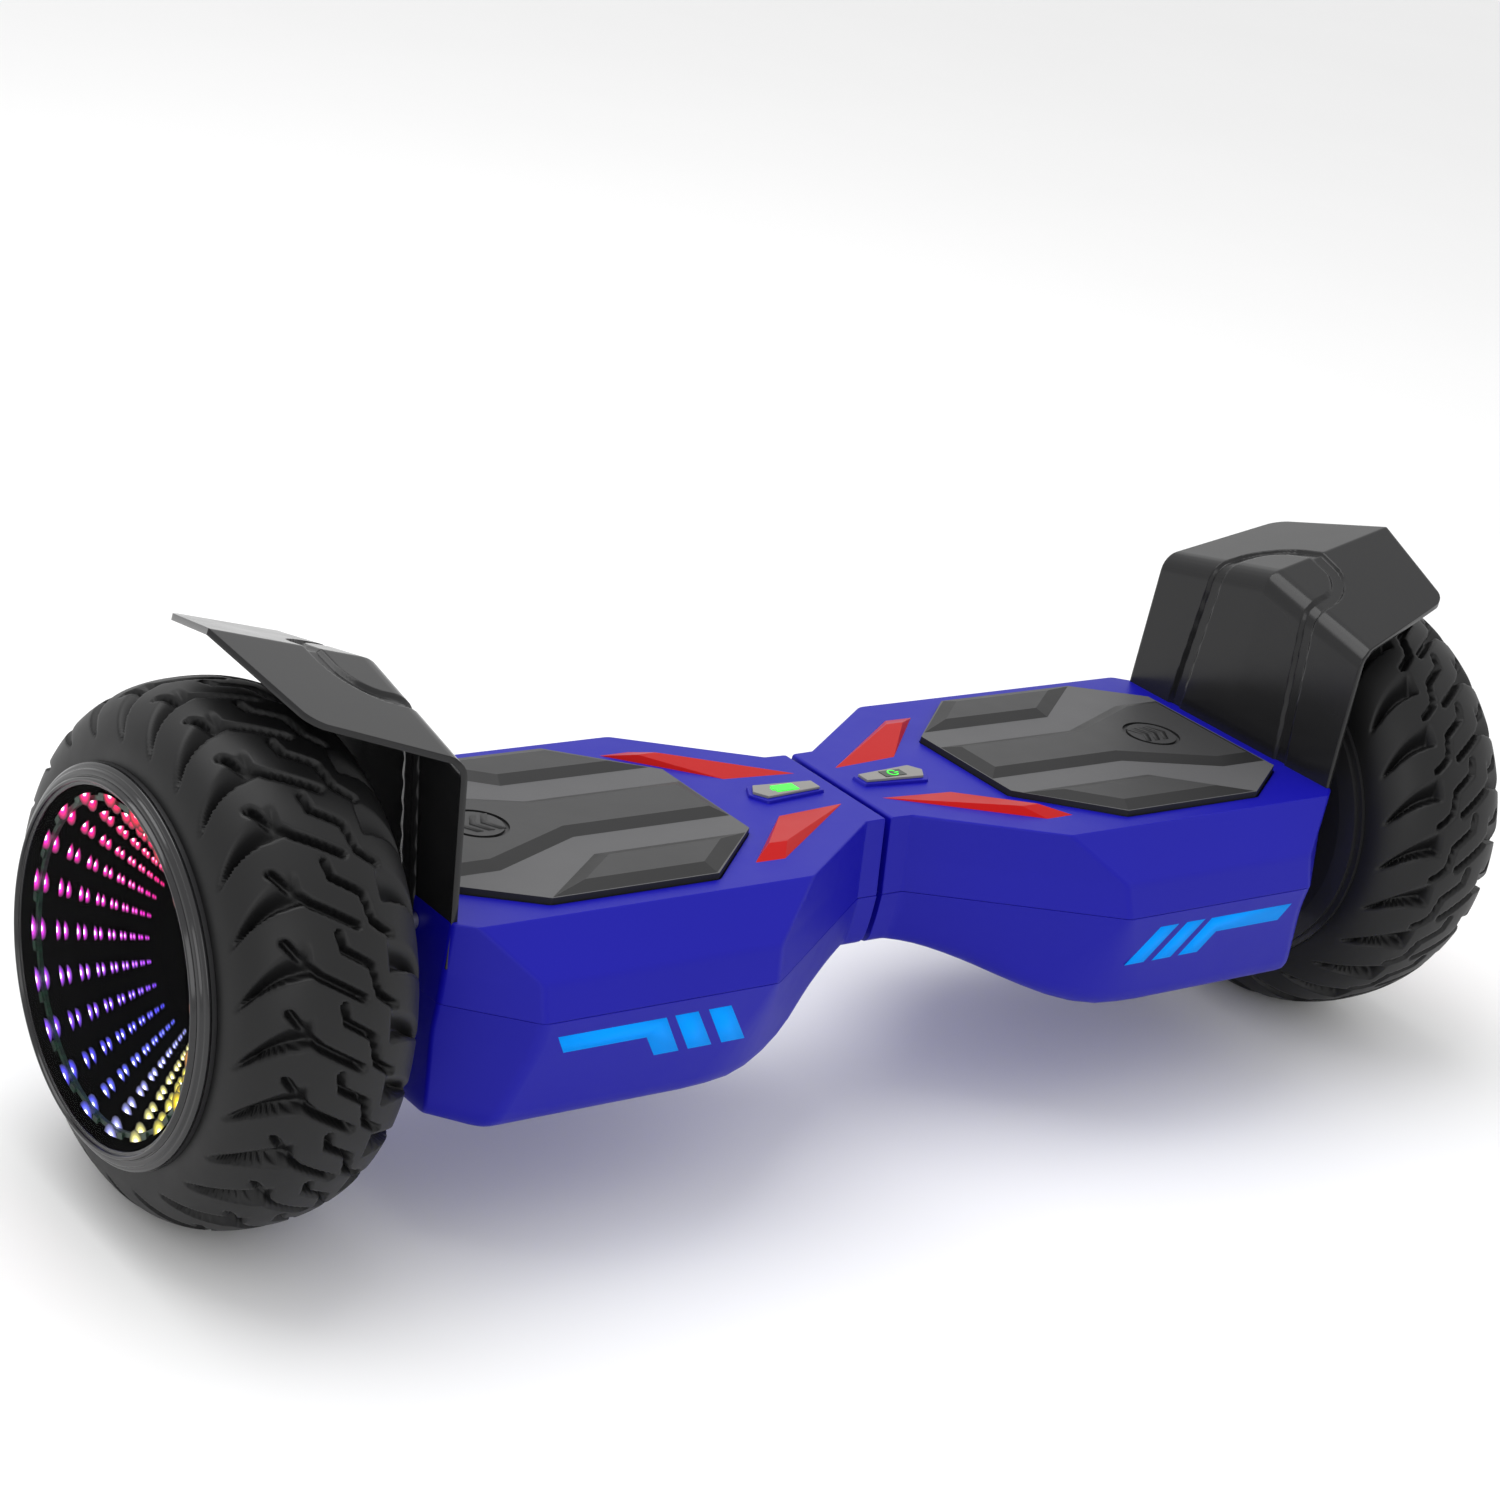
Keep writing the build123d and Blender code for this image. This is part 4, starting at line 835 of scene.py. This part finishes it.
class BOARD_OT_fenders(bpy.types.Operator):
    """Folded fenders with a channel round their middle panel"""

    bl_idname = "board.fenders"
    bl_label = "Fenders"

    def execute(self, context):
        settings = context.scene.board.fenders
        black = moulded("fender_gloss", (0.010, 0.010, 0.0105), 0.2, 900.0, 0.000008, specular=0.3)
        for side, sign in SIDES.items():
            points = self.sheet(settings) * (sign, 1, 1)
            faces = grid_faces(*points.shape[:2])
            if sign > 0:
                faces = faces[:, ::-1]
            piece = add_piece(
                f"guard_{side}", points, faces, black, f"{side}_half", (f"fender_{side}",)
            )
            crisp(piece, thickness=2.6)
        return {"FINISHED"}

    def sheet(self, settings):
        """Outer face of the sheet. Each row of points is a place along a line up the inner
        plate and out along the roof; its height falls with |y|, and the roof's edges are cut
        back at both corners. The sheet is pushed in along the channel."""
        low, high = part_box("fender_right")
        foot, tip, peak = low.z / MM, high.x / MM, high.z / MM
        bend_x, bend_z, start = END_X + LEAN - SHEET_T, FENDER_BEND + SHEET_T, END_X - SHEET_T
        slope = (peak - bend_z) / (tip - bend_x)
        plate = np.array([[start, 0, foot], [start, 0, DECK_Z], [bend_x, 0, bend_z], [tip, 0, peak]])
        line = soften(plate[:, None], [0, 6, 9, 0], 0, steps=6)[:, 0]
        gap = np.r_[0, np.cumsum(np.linalg.norm(np.diff(line, axis=0), axis=1))]
        s = np.linspace(0, gap[-1], int(gap[-1] / settings.grid))
        x, z = np.interp(s, gap, line[:, 0]), np.interp(s, gap, line[:, 2])
        along = np.stack([np.gradient(x, s), np.gradient(z, s)], -1)
        bend_s = bend_z - foot
        roof = np.clip((s - bend_s) / (gap[-1] - bend_s), 0, 1)
        half = 69.2 - 1.5 * np.clip(s / bend_s, 0, 1) - 9.7 * roof
        c = np.linspace(-1, 1, int(2 * 69 / settings.grid))
        s_, c_ = np.meshgrid(s, c, indexing="ij")
        y = c_ * half[:, None]
        corner = 1 - np.sqrt(1 - np.clip((np.abs(c_) - 0.86) / 0.14, 0, 1) ** 2)
        cut = (FENDER_CUT * np.abs(c_) + 8.0 * corner) * roof[:, None]
        height = (z[:, None] - foot) / (bend_z - foot)
        fall = FENDER_FALL * np.abs(y) * np.clip(height, 0, 1)
        drop = self.channel(s_, y, bend_s, settings)
        out = np.stack([-along[:, 1], 0 * s, along[:, 0]], -1)[:, None]
        return np.stack([x[:, None] - cut, y, z[:, None] - fall - cut * slope], -1) - drop[..., None] * out

    def channel(self, s, y, bend_s, settings):
        """Depth of the channel: a band of fixed width outside the panel's outline. The panel's
        half width shrinks up the plate, and on the roof it closes as a quarter ellipse."""
        width = np.interp(s, [0, bend_s, bend_s + 26], [35.0, 27.0, 24.0])
        end, nose = bend_s + 27.0, 14.0
        past = (s - (end - nose)) / nose
        side = np.abs(y) - width
        sideways = np.clip(np.abs(y) - (width - nose), 0, None)
        round_end = np.hypot(np.clip(past, 0, None) * nose, sideways) - nose
        outside = np.where(past > 0, np.maximum(round_end, side), side)
        edge = 0.9
        band = blend_step((outside + edge / 2) / edge) * blend_step(
            (settings.channel_width - outside + edge / 2) / edge
        )
        return settings.channel_depth * band


class BOARD_OT_tyres(bpy.types.Operator):
    """Off-road tyres with carved tread"""

    bl_idname = "board.tyres"
    bl_label = "Tyres"

    def execute(self, context):
        settings = context.scene.board.tyres
        rubber = tyre_rubber(settings)
        rows = self.carcass(settings)
        for side, sign in SIDES.items():
            faces = grid_faces(*rows.shape[:2], wrap_rows=True, wrap_columns=True)
            add_piece(
                f"tread_{side}",
                rows * (sign, 1, 1),
                faces,
                rubber,
                f"{side}_wheel",
                (f"tyre_{side}",),
            )
        return {"FINISHED"}

    def carcass(self, settings):
        """Section (half width * cos^(2/n), height * sin^(2/n)) spun about the axle line. Each
        point is moved in along the section's normal by the depth of the tread there."""
        a = np.linspace(1e-3, math.pi - 1e-3, 1500)
        power = 2 / TYRE_SQUARENESS
        middle, half = (TYRE_IN + TYRE_OUT) / 2, (TYRE_OUT - TYRE_IN) / 2
        x = middle - half * np.sign(np.cos(a)) * np.abs(np.cos(a)) ** power
        r = BEAD_R + (TYRE_R - BEAD_R) * np.sin(a) ** power
        gone = np.r_[0, np.cumsum(np.hypot(np.diff(x), np.diff(r)))]
        across = np.linspace(0, gone[-1], 111)
        sx, sr = np.interp(across, gone, x), np.interp(across, gone, r)
        dx, dr = np.gradient(sx, across), np.gradient(sr, across)
        count = settings.pitches * settings.steps
        turn = np.arange(count) * 2 * math.pi / count
        pitch = 2 * math.pi * TYRE_R / settings.pitches
        u, v = np.meshgrid(turn * TYRE_R, across - gone[-1] / 2, indexing="ij")
        depth = self.tread(u, v, pitch, settings.groove_depth)
        px = sx + dr * depth
        pr = sr - dx * depth
        liner = [(sx[-1] - 6, BEAD_R - 2.0), (sx[0] + 6, BEAD_R - 2.0)]
        for lx, lr in liner:
            px = np.c_[px, np.full(count, lx)]
            pr = np.c_[pr, np.full(count, lr)]
        t = turn[:, None]
        return np.stack([px, -pr * np.cos(t), AXLE_Z + pr * np.sin(t)], -1)

    def tread(self, u, v, pitch, deep):
        """Depth of the tread at u round the crown and v across it, positive outwards."""
        u = u % pitch
        outer = [(0.0, 25.5), (-0.30, 19.5), (-0.52, 13.5), (-0.90, -4.0)]
        middle = [(0.03, 4.0), (-0.20, 3.4), (-0.47, -8.3), (-0.88, -10.8), (-1.08, -18.5)]
        depth = np.zeros_like(u)
        for shift in range(-1, 4):
            for path, width in ((outer, 3.2), (middle, 2.8)):
                places = [((t + shift) * pitch, w) for t, w in path]
                depth = np.maximum(depth, deep * self.groove(u, v, places, width))
            for t0, way in ((0.52, 1), (-0.58, -1)):
                depth = np.maximum(depth, self.shoulder(u, way * v, pitch, t0 + shift, deep))
        return depth

    def groove(self, u, v, path, width):
        """1 within half the width of a chain of straight runs, with a sloping wall."""
        near = np.full(u.shape, 1e9)
        for (u0, v0), (u1, v1) in zip(path[:-1], path[1:]):
            along = ((u - u0) * (u1 - u0) + (v - v0) * (v1 - v0)) / ((u1 - u0) ** 2 + (v1 - v0) ** 2)
            along = np.clip(along, 0, 1)
            near = np.minimum(near, np.hypot(u - u0 - along * (u1 - u0), v - v0 - along * (v1 - v0)))
        return blend_step((width / 2 + 0.5 - near) / 1.2)

    def shoulder(self, u, v, pitch, start, deep):
        """Curved wedge down the shoulder: one steep wall, the other a long ramp. It is widest
        at the crown and runs out to a point on the sidewall."""
        inner, outer = 17.0, 47.0
        share = np.clip((v - inner) / (outer - inner), 0, 1)
        line = (start - 0.06 * share - 0.50 * share**2.4) * pitch
        width = 13.0 * (1 - share) ** 0.7 + 0.4
        off = (u - line) / width
        wall = blend_step((off + 0.12) / 0.12) * (1 - blend_step(off))
        inside = blend_step((v - inner + 1) / 1.5) * (1 - blend_step((v - outer + 6) / 6))
        return 1.25 * deep * wall * inside


class BOARD_OT_wheel_faces(bpy.types.Operator):
    """Trim rings, light tunnels and lamps of the wheel faces"""

    bl_idname = "board.wheel_faces"
    bl_label = "Wheel faces"

    def execute(self, context):
        settings = context.scene.board.lamps
        gloss = moulded("trim_gloss", (0.012, 0.012, 0.013), 0.14, 900.0, 0.000008)
        black = moulded("tunnel_dark", (0.0008, 0.0008, 0.0008), 0.8, specular=0.0)
        clear = smoked("window_clear")
        light = glowing("lamp_light", settings)
        for side, sign in SIDES.items():
            body = f"{side}_wheel"
            ring = self.turned(self.trim_profile(), closed=True) * (sign, 1, 1)
            faces = grid_faces(*ring.shape[:2], wrap_rows=True, wrap_columns=True)
            add_piece(f"face_ring_{side}", ring, faces, gloss, body, (f"wheel_trim_{side}",))
            cup = self.turned(self.tunnel_profile(), closed=False) * (sign, 1, 1)
            faces = grid_faces(*cup.shape[:2], wrap_rows=True)
            add_piece(f"tunnel_{side}", cup, faces, black, body, (f"light_tunnel_{side}",))
            dome = self.turned(self.window_profile(), closed=False) * (sign, 1, 1)
            faces = grid_faces(*dome.shape[:2], wrap_rows=True)
            add_piece(f"window_{side}", dome, faces, clear, body, (f"lamp_window_{side}",))
            self.lamps(side, sign, light, settings)
        return {"FINISHED"}

    def turned(self, profile, closed):
        """Profile of (x, radius) spun about the axle line."""
        profile = soften(np.array(profile, float)[:, None], 0.35, 0, closed=closed, steps=2)[:, 0]
        t = np.linspace(0, 2 * math.pi, 160, endpoint=False)[:, None]
        x, r = profile[:, 0], profile[:, 1]
        return np.stack([x + 0 * t, -r * np.cos(t), AXLE_Z + r * np.sin(t)], -1)

    def trim_profile(self):
        """Stepped ring that slopes back from the window's rim to the tyre's bead."""
        top, seat = FACE_X, TRIM_IN
        return [
            (seat, 70.5), (seat, 78.6), (seat + 1.2, 78.9), (seat + 2.2, 77.8), (seat + 2.3, 76.8),
            (seat + 3.6, 76.3), (top - 1.8, 74.6), (top - 2.1, 73.9), (top - 0.4, 73.4), (top, 72.8),
            (top - 0.3, 72.0), (top - 1.6, 71.8), (top - 1.6, 70.5),
        ]

    def tunnel_profile(self):
        """Dark cone from the mouth to a small flat end."""
        mouth, end = FACE_X - 1.7, TUNNEL_BACK + 0.8
        return [(mouth, 72.0), (mouth, 71.0), (end, 27.0), (end, 0.0)]

    def window_profile(self):
        """Very shallow dome that closes the mouth: its rise is 1 mm."""
        r = np.linspace(71.9, 0, 12)
        return np.c_[FACE_X - 1.3 + (1 - (r / 71.9) ** 2), r]

    def lamps(self, side, sign, light, settings):
        """Rows of paired round lamps down the tunnel. Each pair is the one before it times the
        fade, in size and in what is left of the way. A lamp is a disc of rings, white in the
        middle, coloured and then black at its rim."""
        fade = 0.83
        k, j, m = np.meshgrid(
            np.arange(settings.streams), np.arange(settings.echoes), np.arange(2), indexing="ij"
        )
        k, j, m = k.ravel(), j.ravel(), m.ravel()
        shrink = fade ** (j + 0.42 * m)
        share = (1 - fade ** (j + 0.36 * m + 0.15)) / (1 - fade ** (settings.echoes + 0.6))
        radius = 69.3 - 40.8 * share
        x = FACE_X - 4.0 - (FACE_X - 7.0 - TUNNEL_BACK) * share
        turn = 2 * math.pi * (k + 0.35) / settings.streams
        y, z = radius * np.cos(turn), radius * np.sin(turn)
        size = 5.6 * shrink
        rings = np.array([0.0, 0.22, 0.36, 0.62, 1.0])
        spin = np.linspace(0, 2 * math.pi, 12, endpoint=False)
        dy = (rings[:, None] * np.cos(spin)).ravel()
        dz = (rings[:, None] * np.sin(spin)).ravel()
        py, pz = y[:, None] + size[:, None] * dy, z[:, None] + size[:, None] * dz
        reach = np.hypot(py, pz)
        hold = np.minimum(1, 71.2 / reach)
        points = np.stack([sign * (x[:, None] + 0 * dy), py * hold, AXLE_Z + pz * hold], -1)
        one = grid_faces(len(rings), len(spin), wrap_columns=True)
        faces = (one[None] + np.arange(len(k))[:, None, None] * points.shape[1]).reshape(-1, 4)
        if sign > 0:
            faces = faces[:, ::-1]
        mesh = bpy.data.meshes.new(f"lamps_{side}")
        mesh.from_pydata((points.reshape(-1, 3) * MM).tolist(), [], faces.tolist())
        hue = self.hue(np.degrees(turn))
        dim = np.clip(1.25 - 0.11 * j, 0.25, 1)[:, None, None]
        white = np.clip(1.35 - 0.2 * j, 0, 1)[:, None, None]
        core = hue[:, None] * (1 - white) + white
        mixes = np.array([1.0, 0.85, 0.0, 0.0, 0.0])[None, :, None]
        level = np.array([1.0, 1.0, 0.6, 0.2, 0.0])[None, :, None]
        glow = (core * mixes + hue[:, None] * (1 - mixes)) * level * dim
        glow = np.repeat(glow, len(spin), axis=1).reshape(-1, 3)
        layer = mesh.attributes.new("glow", "FLOAT_COLOR", "POINT")
        layer.data.foreach_set("color", np.c_[glow, np.ones(len(glow))].astype(np.float32).ravel())
        finish_piece(f"lamps_{side}", mesh, light, f"{side}_wheel", ())

    def hue(self, angle):
        """Colour by the angle from the back, upwards: magenta, pink, red, yellow, white, blue."""
        stops = [-180, -150, -118, -95, -60, -30, 0, 45, 90, 135, 180]
        colours = np.array([
            (1.0, 0.25, 0.0), (0.9, 0.75, 0.0), (0.75, 0.7, 0.25), (0.12, 0.16, 1.0),
            (0.08, 0.06, 1.0), (0.45, 0.08, 1.0), (0.85, 0.02, 0.6), (1.0, 0.0, 0.22),
            (1.0, 0.0, 0.06), (1.0, 0.0, 0.02), (1.0, 0.25, 0.0),
        ])
        at = (angle + 180) % 360 - 180
        return np.stack([np.interp(at, stops, colours[:, c]) for c in range(3)], -1)


class BOARD_OT_running_gear(bpy.types.Operator):
    """Finishes of the pieces that keep the frame's shape"""

    bl_idname = "board.running_gear"
    bl_label = "Running gear"

    def execute(self, context):
        steel = (0.56, 0.56, 0.58)
        finishes = {
            "shell_blue": lambda n: moulded(n, tuple(context.scene.board.covers.blue)),
            "trim_red": lambda n: moulded(n, tuple(context.scene.board.covers.red)),
            "plate_grey": lambda n: moulded(n, (0.20, 0.195, 0.185)),
            "lens_green": lambda n: lit(n, (0.03, 1.0, 0.03), 1.0),
            "pad_rubber": lambda n: moulded(n, (0.05, 0.05, 0.05), 0.6),
            "soft_rubber": lambda n: moulded(n, (0.012, 0.012, 0.012), 0.62, 1000.0, 0.00006),
            "circuit": lambda n: circuit_board(n, (0.004, 0.02, 0.01)),
            "screw_steel": lambda n: metal(n, (0.45, 0.45, 0.46), 0.35),
            "shaft_steel": lambda n: metal(n, steel, 0.25, (6.0, 0.6, 0.6)),
            "bearing_steel": lambda n: metal(n, (0.72, 0.72, 0.74), 0.12, texture=900.0, depth=0.00001),
            "cast_metal": lambda n: metal(n, (0.5, 0.51, 0.52), 0.5, texture=1600.0, depth=0.00012),
            "fender_black": lambda n: moulded(n, (0.018, 0.018, 0.019), 0.16),
            "laminations": lambda n: laminated(n, (0.3, 0.3, 0.31)),
            "copper": lambda n: wound_copper(n, (0.7, 0.32, 0.16)),
            "magnet": lambda n: metal(n, (0.5, 0.5, 0.52), 0.3, texture=300.0),
            "hub_metal": lambda n: moulded(n, (0.012, 0.012, 0.013), 0.35, 1500.0, 0.0001),
            "tyre": lambda n: moulded(n, (0.016, 0.016, 0.017), 0.6),
            "tunnel_black": lambda n: moulded(n, (0.002, 0.002, 0.002), 0.7),
            "smoked_window": smoked,
            "trim_black": lambda n: moulded(n, (0.012, 0.012, 0.013), 0.14),
            "bronze": lambda n: metal(n, (0.55, 0.36, 0.14), 0.4, texture=1800.0),
            "battery_wrap": lambda n: moulded(n, (0.01, 0.06, 0.25), 0.25, 120.0, 0.0002),
            "port_black": lambda n: moulded(n, (0.01, 0.01, 0.01), 0.45),
            "wire": lambda n: moulded(n, (0.015, 0.015, 0.015), 0.4),
            "button_grey": lambda n: moulded(n, (0.1, 0.1, 0.105), 0.38),
        }
        made = {}
        for row in frame["record"]["subparts"]:
            node, name = frame["nodes"][row["node"]], row["material_slot"]
            if name not in made:
                made[name] = finishes[name](name)
            node.data.materials.clear()
            node.data.materials.append(made[name])
        return {"FINISHED"}


class BOARD_PT_panel(bpy.types.Panel):
    """Lists the steps that make the board"""

    bl_label = "Self balancing board"
    bl_idname = "BOARD_PT_panel"
    bl_space_type = "VIEW_3D"
    bl_region_type = "UI"
    bl_category = "Board"

    def draw(self, context):
        for name in GROUPS:
            box = self.layout.box()
            group = getattr(context.scene.board, name)
            for prop in group.bl_rna.properties:
                if prop.identifier not in ("rna_type", "name"):
                    box.prop(group, prop.identifier)
        for step in STEPS:
            self.layout.operator(step.bl_idname)


STEPS = (
    BOARD_OT_stage,
    BOARD_OT_running_gear,
    BOARD_OT_covers,
    BOARD_OT_trims,
    BOARD_OT_pads,
    BOARD_OT_fenders,
    BOARD_OT_tyres,
    BOARD_OT_wheel_faces,
)
CLASSES = (*GROUPS.values(), BoardSettings, *STEPS, BOARD_PT_panel)


def register():
    for cls in CLASSES:
        bpy.utils.register_class(cls)
    bpy.types.Scene.board = PointerProperty(type=BoardSettings)


def unregister():
    del bpy.types.Scene.board
    for cls in reversed(CLASSES):
        bpy.utils.unregister_class(cls)


def main():
    register()
    for step in STEPS:
        group, name = step.bl_idname.split(".")
        getattr(getattr(bpy.ops, group), name)()


if __name__ == "__main__":
    main()
